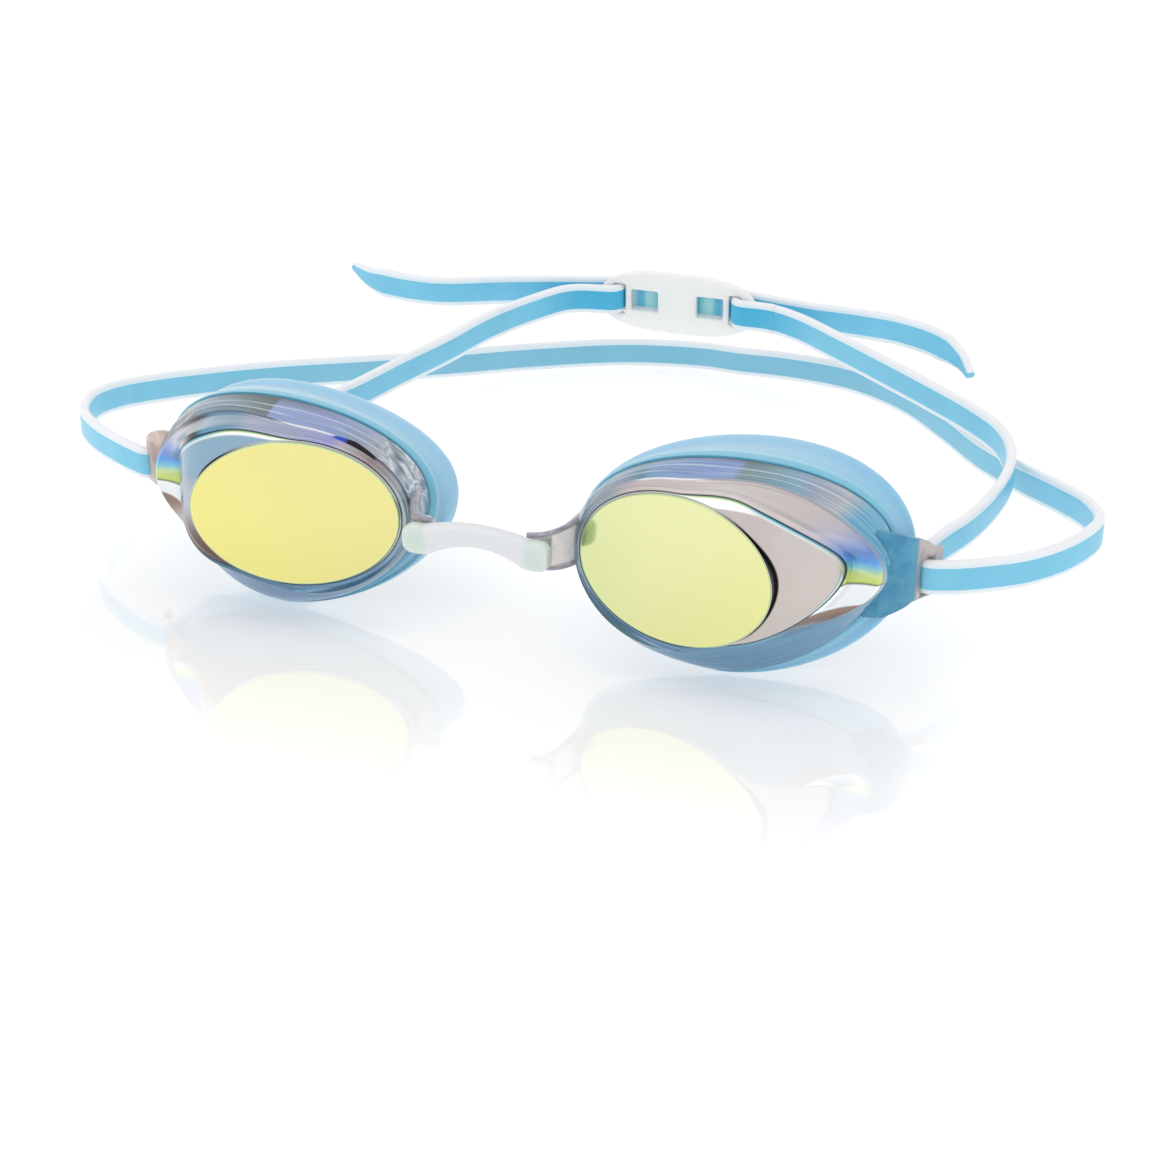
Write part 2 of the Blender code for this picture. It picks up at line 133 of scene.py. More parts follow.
# Strap and clip.
STRAP_WIDTH = 6.1
STRAP_THICK = 1.8
TURN_RADIUS = 2.6
CLIP_CENTRE = (0.6, 113.4, 1.5)
CLIP_LENGTH = 34.0
CLIP_HEIGHT = 12.8
CLIP_THICK = 1.8
CLIP_BLUNT = 0.625
CLIP_WINDOW = (4.1, 9.9)
CLIP_SLOT = (11.1, 13.7)
CLIP_SLOT_HEIGHT = 6.5
CLIP_WINDOW_HEIGHT = 4.6
CLIP_FOLD = 3.9
RIGHT_REAR = ((76.5, 19.5, -3.8), (81.0, 20.9, -3.3), (86.5, 23.4, -2.7), (91.5, 27.8, -2.1),
              (95.0, 33.6, -1.7), (96.4, 39.8, -1.7), (94.0, 46.7, -2.2), (88.2, 55.4, -3.8),
              (80.2, 66.6, -6.4), (70.2, 80.6, -9.0), (60.6, 94.4, -10.0), (49.4, 109.0, -11.3),
              (36.0, 120.9, -13.3), (21.5, 128.6, -15.6), (9.0, 133.0, -17.5))
LEFT_REAR = ((-76.5, 20.0, -3.8), (-81.0, 22.6, -3.9), (-87.0, 27.0, -4.3), (-93.4, 34.1, -4.9),
             (-96.4, 43.3, -5.7), (-95.4, 51.6, -6.9), (-92.1, 60.9, -8.7), (-85.2, 73.5, -11.1),
             (-75.6, 86.3, -13.4), (-62.6, 98.2, -15.2), (-49.1, 109.9, -16.7),
             (-34.9, 121.3, -17.7), (-16.0, 131.6, -18.1))
REAR_MIDDLE = (0.0, 134.9, -18.15)
RIGHT_UPPER = ((70.2, 24.4, -3.8), (72.0, 29.5, -3.4), (74.9, 36.5, -3.1), (77.2, 45.9, -2.9),
               (78.4, 55.8, -2.3), (77.5, 64.3, -1.7), (74.2, 71.4, -1.1), (68.2, 77.8, -0.7),
               (59.1, 85.6, -0.4), (47.2, 95.1, 0.0), (37.0, 102.4, 0.6), (27.5, 108.7, 1.2),
               (21.0, 110.9, 1.6))
LEFT_UPPER = ((-69.4, 24.4, -3.8), (-67.4, 29.0, -3.5), (-61.5, 36.0, -3.2), (-53.1, 44.6, -3.0),
              (-48.2, 55.1, -2.8), (-43.2, 69.3, -2.2), (-38.4, 81.3, -1.5), (-33.7, 93.5, -0.4),
              (-27.6, 103.0, 0.7), (-21.5, 109.2, 1.5))
RIGHT_TAIL = ((21.0, 116.6, 1.2), (29.0, 115.9, 1.0), (37.5, 116.0, 0.8), (47.0, 115.7, 0.3),
              (55.4, 114.0, -1.0), (60.4, 111.4, -2.9), (62.7, 108.4, -4.4))
LEFT_TAIL = ((-20.0, 116.1, 1.2), (-26.5, 113.7, 1.4), (-36.9, 109.6, 1.5), (-48.5, 104.6, 1.6),
             (-57.5, 104.0, 1.9), (-63.8, 104.9, 2.5), (-69.3, 108.0, 3.6))
TAIL_TIP = 9.0
STRAP_EDGE = 0.75
HELD_UNTIL = {"left": 33.0, "right": 18.8}       # distance from the clip's middle
THREADED_FROM = {"left": 33.0, "right": 22.0}
SLEEVE = {"left": 0.0, "right": 0.08}            # how much wider the clip's part of the band is

# Camera, in the drawing's millimetres.
CAMERA_AT = (125.6, -320.2, 170.1)
CAMERA_TARGET = (18.87, 0.0, -5.66)
CAMERA_LENS = 70.8

# Floor and light.
FLOOR_TONE = (0.66, 0.66, 0.66, 1.0)
FLOOR_GLOW = 0.46
FLOOR_GLOSS = 0.23
WORLD_STRENGTH = 0.93
KEY_AT = (-260.0, -240.0, 620.0)
KEY_TARGET = (0.0, 50.0, 0.0)
KEY_SIZE = 0.5
KEY_POWER = 0.55

CORNER_POINTS = 5
POINTS = 160
TURNS = [2 * math.pi * i / POINTS for i in range(POINTS)]


def place(point):
    return DATUM + Vector(point) * MM


# Materials --------------------------------------------------------------------------------

def rgb(red, green, blue):
    """A screen colour, 0 to 255, as the linear colour that shaders take."""
    return tuple((c / 255) ** 2.2 for c in (red, green, blue)) + (1.0,)


class Paint:
    """A material under construction, with short calls for the nodes that it uses."""

    def __init__(self, name, **values):
        self.material = bpy.data.materials.new(name)
        self.material.use_nodes = True
        self.tree = self.material.node_tree
        self.shader = self.tree.nodes["Principled BSDF"]
        for socket, value in values.items():
            self.shader.inputs[socket.replace("_", " ")].default_value = value

    def add(self, kind, *inputs, **settings):
        node = self.tree.nodes.new("ShaderNode" + kind)
        for setting, value in settings.items():
            setattr(node, setting, value)
        for i, value in enumerate(inputs):
            self.feed(node.inputs[i], value)
        return node

    def feed(self, socket, value):
        if value is None:
            return
        if isinstance(value, bpy.types.NodeSocket):
            self.tree.links.new(value, socket)
        else:
            socket.default_value = value

    def set(self, socket, value):
        self.feed(self.shader.inputs[socket], value)

    def math(self, operation, *inputs):
        return self.add("Math", *inputs, operation=operation).outputs[0]

    def times(self, first, *others):
        for other in others:
            first = self.math("MULTIPLY", first, other)
        return first

    def between(self, value, low, high):
        """0 below low, 1 above high, smooth between."""
        node = self.add("MapRange", value, low, high, 0.0, 1.0, interpolation_type="SMOOTHSTEP")
        return node.outputs[0]

    def ramp(self, value, stops):
        """Colour by value. Each stop is a position, then a colour or its 0 to 255 parts."""
        node = self.add("ValToRGB", value)
        elements = node.color_ramp.elements
        while len(elements) < len(stops):
            elements.new(0.5)
        for element, (position, *_) in zip(elements, stops):
            element.position = position
        for element, (position, *tone) in zip(elements, stops):
            element.position = position
            element.color = rgb(*tone) if len(tone) == 3 else tone[0]
        return node.outputs[0]

    def mix(self, share, first, second):
        node = self.add("Mix", data_type="RGBA")
        self.feed(node.inputs[0], share)
        self.feed(node.inputs[6], first)
        self.feed(node.inputs[7], second)
        return node.outputs[2]

    def noise(self, scale, detail=2.0, vector=None):
        """Noise with this many waves across the piece's own box, or per unit of vector."""
        node = self.add("TexNoise")
        self.feed(node.inputs["Vector"], vector)
        node.inputs["Scale"].default_value = scale
        node.inputs["Detail"].default_value = detail
        return node.outputs[0]

    def place_mm(self):
        """x, y and z in the drawing's millimetres."""
        point = self.add("TexCoord").outputs["Object"]
        moved = self.add("VectorMath", point, tuple(DATUM), operation="SUBTRACT").outputs[0]
        scaled = self.add("VectorMath", moved, (1000.0,) * 3, operation="MULTIPLY").outputs[0]
        return self.add("SeparateXYZ", scaled).outputs

    def wall(self):
        """How far round the cup, in degrees from the temple, and how far across its wall."""
        parts = self.add("SeparateXYZ", self.add("UVMap", uv_map="Wall").outputs[0]).outputs
        return self.times(parts[0], 360.0), parts[1]

    def bump(self, height, distance, strength):
        node = self.add("Bump")
        node.inputs["Strength"].default_value = strength
        node.inputs["Distance"].default_value = distance
        self.feed(node.inputs["Height"], height)
        self.set("Normal", node.outputs[0])


def spread(paint, turn, centre, half, soft):
    """1 within half degrees of centre, going round the cup either way, and 0 beyond."""
    off = paint.math("SUBTRACT", turn, centre)
    off = paint.math("WRAP", off, 180.0, -180.0)
    off = paint.math("ABSOLUTE", off)
    node = paint.add("MapRange", off, half - soft, half + soft, 1.0, 0.0,
                     interpolation_type="SMOOTHSTEP")
    return node.outputs[0]


# Meshes -----------------------------------------------------------------------------------

def add_object(name, data):
    obj = bpy.data.objects.new(name, data)
    bpy.context.scene.collection.objects.link(obj)
    return obj

def mesh_object(name, bm, materials, angle=30):
    bmesh.ops.recalc_face_normals(bm, faces=bm.faces)
    mesh = bpy.data.meshes.new(name)
    bm.to_mesh(mesh)
    bm.free()
    for made in materials:
        mesh.materials.append(made)
    mesh.shade_smooth()
    mesh.set_sharp_from_angle(angle=math.radians(angle))
    return add_object(name, mesh)


def loft(rings, across, around=False, slots=None):
    """Joins rings of points into a skin. across gives each ring's place in the Wall map, and
    slots the material slot of the faces that start at it. around=True closes the last ring
    onto the first, and otherwise each end is filled."""
    bm = bmesh.new()
    layer = bm.loops.layers.uv.new("Wall")
    rows = [[bm.verts.new(place(p)) for p in ring] for ring in rings]
    count = len(rows[0])
    last = len(rows) if around else len(rows) - 1
    for i in range(last):
        following = (i + 1) % len(rows)
        for j in range(count):
            k = (j + 1) % count
            face = bm.faces.new((rows[i][j], rows[i][k], rows[following][k], rows[following][j]))
            face.material_index = slots[i] if slots else 0
            marks = ((j, across[i]), (j + 1, across[i]), (j + 1, across[following]),
                     (j, across[following]))
            for loop, (turn, value) in zip(face.loops, marks):
                loop[layer].uv = (turn / count, value)
    if not around:
        for row, value, slot in ((rows[0], across[0], 0), (rows[-1], across[-1], -1)):
            face = bm.faces.new(row)
            face.material_index = slots[slot] if slots else 0
            for j, loop in enumerate(face.loops):
                loop[layer].uv = (j / count, value)
    return bm


def smooth_route(points, step):
    """A centripetal curve through the points, read at about this spacing."""
    p = [np.array(q, float) for q in points]
    p = [2 * p[0] - p[1], *p, 2 * p[-1] - p[-2]]
    out = []
    for a, b, c, d in zip(p, p[1:], p[2:], p[3:]):
        t1 = np.linalg.norm(b - a) ** 0.5
        t2 = t1 + np.linalg.norm(c - b) ** 0.5
        t3 = t2 + np.linalg.norm(d - c) ** 0.5
        pieces = max(1, round(np.linalg.norm(c - b) / step))
        for t in np.linspace(t1, t2, pieces, endpoint=False):
            ab = a + (b - a) * t / t1
            bc = b + (c - b) * (t - t1) / (t2 - t1)
            cd = c + (d - c) * (t - t2) / (t3 - t2)
            abc = ab + (bc - ab) * t / t2
            bcd = bc + (cd - bc) * (t - t1) / (t3 - t1)
            out.append(abc + (bcd - abc) * (t - t1) / (t2 - t1))
    out.append(p[-2])
    return np.array(out)


def rounded_section(width, height, radius):
    """Points round a rectangle with rounded corners, as (through, up)."""
    points = []
    for side_x, side_y, start in ((1, 1, 0), (-1, 1, 90), (-1, -1, 180), (1, -1, 270)):
        for angle in np.radians(np.linspace(start, start + 90, CORNER_POINTS)):
            points.append((side_x * (width / 2 - radius) + radius * math.cos(angle),
                           side_y * (height / 2 - radius) + radius * math.sin(angle)))
    return points


def band(name, route, heights, thick, radius, finish, begin=0.0):
    """A flat band on edge along a route. Its Wall map runs along it, in centimetres from
    begin, and from its bottom edge to its top one."""
    bm = bmesh.new()
    layer = bm.loops.layers.uv.new("Wall")
    ahead = np.gradient(route, axis=0)
    steps = np.linalg.norm(np.diff(route, axis=0), axis=1)
    along = begin + np.concatenate([[0.0], np.cumsum(steps)]) / 10
    rows = []
    marks = []
    for centre, direction, height in zip(route, ahead, heights):
        direction = direction / np.linalg.norm(direction)
        side = np.cross(direction, (0.0, 0.0, 1.0))
        side = side / np.linalg.norm(side)
        up = np.cross(side, direction)
        section = rounded_section(thick, height, min(radius, 0.49 * height))
        rows.append([bm.verts.new(place(centre + side * a + up * b)) for a, b in section])
        marks.append([b / height + 0.5 for a, b in section])
    count = len(rows[0])
    for i in range(len(rows) - 1):
        for j in range(count):
            k = (j + 1) % count
            face = bm.faces.new((rows[i][j], rows[i][k], rows[i + 1][k], rows[i + 1][j]))
            for loop, (r, c) in zip(face.loops, ((i, j), (i, k), (i + 1, k), (i + 1, j))):
                loop[layer].uv = (along[r], marks[r][c])
    for r in (0, -1):
        face = bm.faces.new(rows[r])
        for loop, mark in zip(face.loops, marks[r]):
            loop[layer].uv = (along[r], mark)
    return mesh_object(name, bm, [finish], angle=50)


def box_bm(centre, size):
    bm = bmesh.new()
    bmesh.ops.create_cube(bm, size=1.0)
    for vert in bm.verts:
        vert.co = place([c + s * v for c, s, v in zip(centre, size, vert.co)])
    return bm

def cut(obj, bm, operation="DIFFERENCE"):
    """Cuts the shape from obj, or joins it on, and applies the result."""
    other = mesh_object(obj.name + "_cutter", bm, [])
    modifier = obj.modifiers.new("cut", "BOOLEAN")
    modifier.operation = operation
    modifier.solver = "EXACT"
    modifier.object = other
    apply_modifiers(obj)
    bpy.data.objects.remove(other, do_unlink=True)


def apply_modifiers(obj):
    graph = bpy.context.evaluated_depsgraph_get()
    mesh = bpy.data.meshes.new_from_object(obj.evaluated_get(graph))
    obj.modifiers.clear()
    obj.data = mesh


def round_edges(obj, width):
    modifier = obj.modifiers.new("round", "BEVEL")
    modifier.width = width * MM
    modifier.segments = 2
    modifier.limit_method = "ANGLE"
    modifier.angle_limit = math.radians(35)
    apply_modifiers(obj)
    obj.data.shade_smooth()
    obj.data.set_sharp_from_angle(angle=math.radians(40))


# Cup outlines -----------------------------------------------------------------------------

def depth(rule, u, w):
    return rule["y"] + rule["lean"] * w + rule["sweep"] * u + rule["bow"] * u * u


def window_depth(x, z):
    curve = SIDE_CURVE * max(0.0, x - SIDE_START_X) ** 2
    return (OVAL_X - x) * math.tan(OVAL_TOE_IN) + z * math.tan(OVAL_LEAN) + curve


def shell_depth(rule, x, z):
    return depth(rule, (x - SHELL_MIDDLE[0]) / SHELL_HALF[0], (z - SHELL_MIDDLE[1]) / SHELL_HALF[1])


def oval_plane(a, b):
    """x and z of a point given along and across the tilted oval."""
    x = OVAL_X + (a * math.cos(OVAL_ROLL) - b * math.sin(OVAL_ROLL)) * math.cos(OVAL_TOE_IN)
    return x, a * math.sin(OVAL_ROLL) + b * math.cos(OVAL_ROLL)


def edge_outline(edge, turn, grow):
    """x and z on an outline that follows the oval and reaches out to the temple."""
    ahead = max(math.cos(turn), 0.0) ** 2
    wide = OVAL_HALF_W + edge["margin"] + grow
    tall = OVAL_HALF_H + edge["margin"] + edge["taller"] + grow
    a = wide * math.cos(turn) + edge["reach"] * ahead
    swell = edge["swell"] if math.sin(turn) > 0 else edge["low_swell"]
    b = tall * math.sin(turn) * (1 + swell * ahead * (1 - ahead))
    return oval_plane(a, b - edge["droop"] * ahead * ahead)


def edge_ring(edge, depth_rule, grow=0.0, back=0.0):
    ring = []
    for turn in TURNS:
        x, z = edge_outline(edge, turn, grow)
        y = shell_depth(depth_rule, x, z) if depth_rule else window_depth(x, z)
        ring.append((x, y + back, z))
    return ring


def window_ring(grow=0.0, back=0.0):
    return edge_ring(WINDOW_EDGE, None, grow, back)


def oval_ring(scale, grow, back):
    """The raised oval's outline, in its own plane."""
    ring = []
    for turn in TURNS:
        x, z = oval_plane((OVAL_HALF_W * scale + grow) * math.cos(turn),
                          (OVAL_HALF_H * scale + grow) * math.sin(turn))
        y = (OVAL_X - x) * math.tan(OVAL_TOE_IN) + z * math.tan(OVAL_LEAN)
        ring.append((x, y + back, z))
    return ring


def rim_ring(rule, grow=0.0, back=0.0):
    ring = []
    for turn in TURNS:
        u, w = math.cos(turn), math.sin(turn)
        x = rule["x"] + (rule["half_w"] + grow) * u
        flare = 1 + rule.get("flare", 0.0) * u
        z = rule["z"] + rule.get("tilt", 0.0) * u + (rule["half_h"] + grow) * w * flare
        z -= rule["low"] * max(-w, 0.0) ** 3
        z += rule.get("lift", 0.0) * max(u, 0.0) * max(-w, 0.0)
        ring.append((x, depth(rule, u, w) + back, z))
    return ring


def mixed(first, second, share):
    """The rim outline part of the way from one to another."""
    return {k: (1 - share) * first.get(k, 0.0) + share * second[k] for k in second}


def between_rings(first, second, share, back=0.0):
    return [tuple(p + (q - p) * share + (back if i == 1 else 0.0)
                  for i, (p, q) in enumerate(zip(a, b))) for a, b in zip(first, second)]


def on_window(ring, back=0.0):
    """The ring's x and z, laid on the side window's surface."""
    return [(x, window_depth(x, z) + back, z) for x, _, z in ring]


def on_side(rings, side):
    return [[(side * x, y, z) for x, y, z in ring] for ring in rings]


def smooth_section(rings, pieces):
    """Rounds a closed set of rings: a curve through each ring's matching points."""
    grid = np.array(rings, float)
    out = []
    count = len(grid)
    for i in range(count):
        a, b, c, d = (grid[(i + k) % count] for k in (-1, 0, 1, 2))
        for t in np.linspace(0, 1, pieces, endpoint=False):
            out.append(0.5 * (2 * b + (c - a) * t + (2 * a - 5 * b + 4 * c - d) * t * t
                              + (3 * b - a - 3 * c + d) * t ** 3))
    return out


# Cup materials ----------------------------------------------------------------------------

BLACK = rgb(14, 16, 20)
WHITE = rgb(255, 255, 255)
NONE = (0.0, 0.0, 0.0, 1.0)
FOOT_AT = 0.68      # where the side window starts and ends across the lens's Wall map
EDGE_AT = 0.92


def mirror_oval(name, middle, low, cool):
    """The flat mirrored oval: pale yellow, greener to the nose and warmer low at the temple."""
    paint = Paint(name, Metallic=1.0)
    x, _, z = paint.place_mm()
    across = paint.math("ABSOLUTE", x)
    warm = paint.between(paint.math("SUBTRACT", across, z), 24.0, 56.0)
    colour = paint.mix(warm, middle, low)
    colour = paint.mix(paint.times(paint.between(across, 30.0, 15.0), 0.7), colour, cool)
    paint.set("Base Color", colour)
    haze = paint.noise(35.0, 3.0)
    paint.set("Roughness", paint.math("MULTIPLY_ADD", haze, 0.05, 0.07))
    return paint.material


def mirror_step(name):
    """The step round the oval: a thin pale line, a painted highlight, then a wall that is black on
    the temple side, a painted black reflection, and silver elsewhere."""
    paint = Paint(name, Metallic=0.8, Roughness=0.2)
    turn, across = paint.wall()
    # Painted reflection: the step wall black on the temple side, under a thin painted highlight
    # line.
    black_reflection = paint.ramp(across, [
        (0.0, 215, 225, 150), (0.495, 222, 232, 170), (0.505, 150, 172, 120),
        (0.52, 238, 244, 226), (0.53, 20, 22, 24), (0.54, 6, 7, 8),
        (0.665, 6, 7, 8), (0.68, 150, 142, 142)])
    pale = paint.ramp(across, [
        (0.0, 215, 225, 150), (0.495, 222, 232, 170), (0.51, 190, 210, 140),
        (0.53, 226, 236, 214), (0.60, 150, 168, 160), (0.68, 206, 204, 202)])
    paint.set("Base Color", paint.mix(spread(paint, turn, 4.0, 50.0, 14.0), pale, black_reflection))
    return paint.material


def mirror_side(name, tip, patch_tone, low_tone, white_from, arch_tone=None):
    """The side window: pinkish silver, with a white and green line inside its upper edge, a painted
    highlight, and a teal one inside its lower edge. tip, patch_tone and low_tone colour it at the
    temple, high up there, and low down. A white strip above the oval, a painted highlight, starts
    at the turn white_from, and arch_tone colours what comes before it."""
    paint = Paint(name, Metallic=0.85, Roughness=0.2)
    turn, across = paint.wall()
    x, _, z = paint.place_mm()
    base = paint.mix(paint.between(z, -12.0, 12.0), rgb(198, 188, 183), rgb(192, 182, 180))
    reach = paint.math("ABSOLUTE", x)
    base = paint.mix(paint.between(reach, 48.0, 58.0), base, tip)
    patch = paint.times(paint.between(reach, 48.0, 53.0), paint.between(z, 1.5, 7.0))
    base = paint.mix(patch, base, patch_tone)
    base = paint.mix(paint.between(z, -1.0, -6.0), base, low_tone)
    ahead = paint.math("COSINE", paint.times(turn, math.pi / 180))
    ahead = paint.math("MAXIMUM", ahead, 0.0)
    wide = paint.math("MULTIPLY_ADD", paint.times(ahead, ahead), 9.0, 0.5)
    share = paint.times(paint.math("SUBTRACT", EDGE_AT, across), 1 / (EDGE_AT - FOOT_AT))
    inside = paint.times(share, wide, 0.25)
    narrowing = paint.math("SUBTRACT", turn, paint.times(share, 22.0))
    # Painted highlight: a white strip above the oval.
    strip = paint.times(paint.between(narrowing, white_from - 2.0, white_from + 2.0),
                        paint.between(turn, 128.0, 118.0))
    if arch_tone:
        arch = paint.times(paint.between(turn, 8.0, 26.0), paint.between(turn, 84.0, 70.0))
        base = paint.mix(arch, base, arch_tone)
    base = paint.mix(strip, base, WHITE)
    top = spread(paint, turn, 62.0, 44.0, 14.0)
    low = spread(paint, turn, -62.0, 60.0, 16.0)
    green = paint.between(turn, 46.0, 58.0)
    upper = paint.ramp(inside, [
        (0.0, 52, 76, 92), (0.05, 86, 150, 176), (0.10, 160, 206, 214),
        (0.15, 212, 222, 220), (0.3, 206, 198, 194)])
    # Painted highlight: the white and green line inside the upper edge.
    glint = paint.ramp(inside, [
        (0.0, 60, 84, 92), (0.05, 150, 180, 130), (0.09, 214, 232, 170),
        (0.13, 250, 252, 250), (0.24, 250, 252, 250), (0.30, 214, 208, 204)])
    lower = paint.ramp(inside, [
        (0.0, 40, 62, 72), (0.05, 76, 118, 132), (0.08, 226, 240, 236),
        (0.13, 214, 230, 228), (0.17, 120, 152, 160), (0.24, 204, 196, 192)])
    plain = paint.ramp(inside, [
        (0.0, 50, 70, 84), (0.06, 150, 170, 184), (0.14, 204, 196, 193)])
    rim = paint.mix(top, paint.mix(low, plain, lower), paint.mix(green, upper, glint))
    edge_share = paint.ramp(inside, [(0.0, WHITE), (0.18, WHITE), (0.28, NONE)])
    paint.set("Base Color", paint.mix(edge_share, base, rim))
    return paint.material


def lens_back(name):
    """The wearer's side of the window: smoky grey-blue."""
    paint = Paint(name, Metallic=0.2, Roughness=0.15, Coat_Weight=0.5)
    x, _, z = paint.place_mm()
    paint.set("Base Color", paint.mix(paint.between(z, -14.0, 14.0), rgb(96, 116, 132),
                                      rgb(150, 168, 180)))
    return paint.material


# Colours round the shell, by turn in degrees from the temple over the top to the nose.
WALL_TONES = {
    "right": ((0, 112, 176, 206), (30, 120, 185, 215), (38, 190, 194, 200), (50, 160, 172, 190),
              (57, 136, 176, 196), (66, 126, 160, 170), (75.5, 122, 148, 150),
              (76.5, 146, 168, 214), (100, 142, 166, 210), (112, 128, 164, 198),
              (118, 100, 142, 166), (128, 140, 155, 175), (150, 150, 158, 168),
              (180, 140, 158, 168),
              (215, 120, 154, 176), (250, 120, 160, 188), (290, 124, 164, 192),
              (330, 120, 165, 195), (360, 112, 176, 206)),
    "left": ((0, 150, 165, 175), (30, 110, 135, 150), (50, 120, 150, 165), (62, 122, 150, 160),
             (70, 122, 146, 150), (80.5, 116, 130, 130), (81.5, 158, 172, 214),
             (105, 154, 168, 210), (118, 150, 168, 200), (135, 165, 168, 180),
             (150, 170, 180, 188), (180, 150, 172, 184), (215, 130, 160, 180),
             (250, 128, 160, 192), (290, 120, 155, 188), (330, 110, 140, 165),
             (360, 150, 165, 175))}
FACET_TONES = {
    "right": ((0, 206, 194, 190), (60, 208, 198, 194), (90, 208, 196, 194), (115, 196, 182, 184),
              (130, 150, 160, 170), (160, 140, 158, 166), (180, 146, 164, 172),
              (220, 120, 150, 176), (260, 110, 142, 170), (300, 112, 158, 184),
              (330, 140, 176, 194), (360, 206, 192, 186)),
    "left": ((0, 84, 96, 100), (36, 66, 70, 72), (43, 60, 66, 70), (48, 96, 150, 178),
             (60, 120, 156, 180), (67, 172, 178, 198), (95, 170, 172, 205), (105, 160, 160, 212),
             (112, 190, 180, 190), (130, 150, 134, 134), (150, 170, 176, 180),
             (180, 170, 190, 195), (220, 120, 156, 185), (260, 112, 150, 180),
             (300, 84, 116, 134), (330, 74, 86, 92), (360, 84, 96, 100))}


def by_turn(paint, turn, tones):
    return paint.ramp(paint.times(turn, 1 / 360), [(t / 360, *tone) for t, *tone in tones])


def shaded(paint, colour, factor):
    """The colour made darker or lighter by a grey factor."""
    node = paint.add("Mix", data_type="RGBA", blend_type="MULTIPLY")
    node.inputs[0].default_value = 1.0
    paint.feed(node.inputs[6], colour)
    paint.feed(node.inputs[7], factor)
    return node.outputs[2]


# What differs between the shells. Each set of turns is the centre, half and soft of spread.
SHELL_LOOK = {
    "left": dict(seed=3.0, rim_band_tone=rgb(74, 68, 62), rim_band_from=0.66, rim_band_turns=(82.0, 28.0, 14.0),
                 sparkle_share=0.7, sparkle_turns=(154.0, 20.0, 12.0), calm=0.0, deep=0.07, fair=0.325,
                 rainbow_turns=(-8.0, 42.0, 8.0), ridge=rgb(84, 90, 102)),
    "right": dict(seed=11.0, rim_band_tone=rgb(92, 84, 92), rim_band_from=0.80,
                  rim_band_turns=(108.0, 36.0, 14.0), sparkle_share=0.3, sparkle_turns=(164.0, 12.0, 8.0),
                  calm=0.6, deep=0.167, fair=0.275, rainbow_turns=(-3.0, 37.0, 8.0),
                  ridge=rgb(150, 158, 172))}

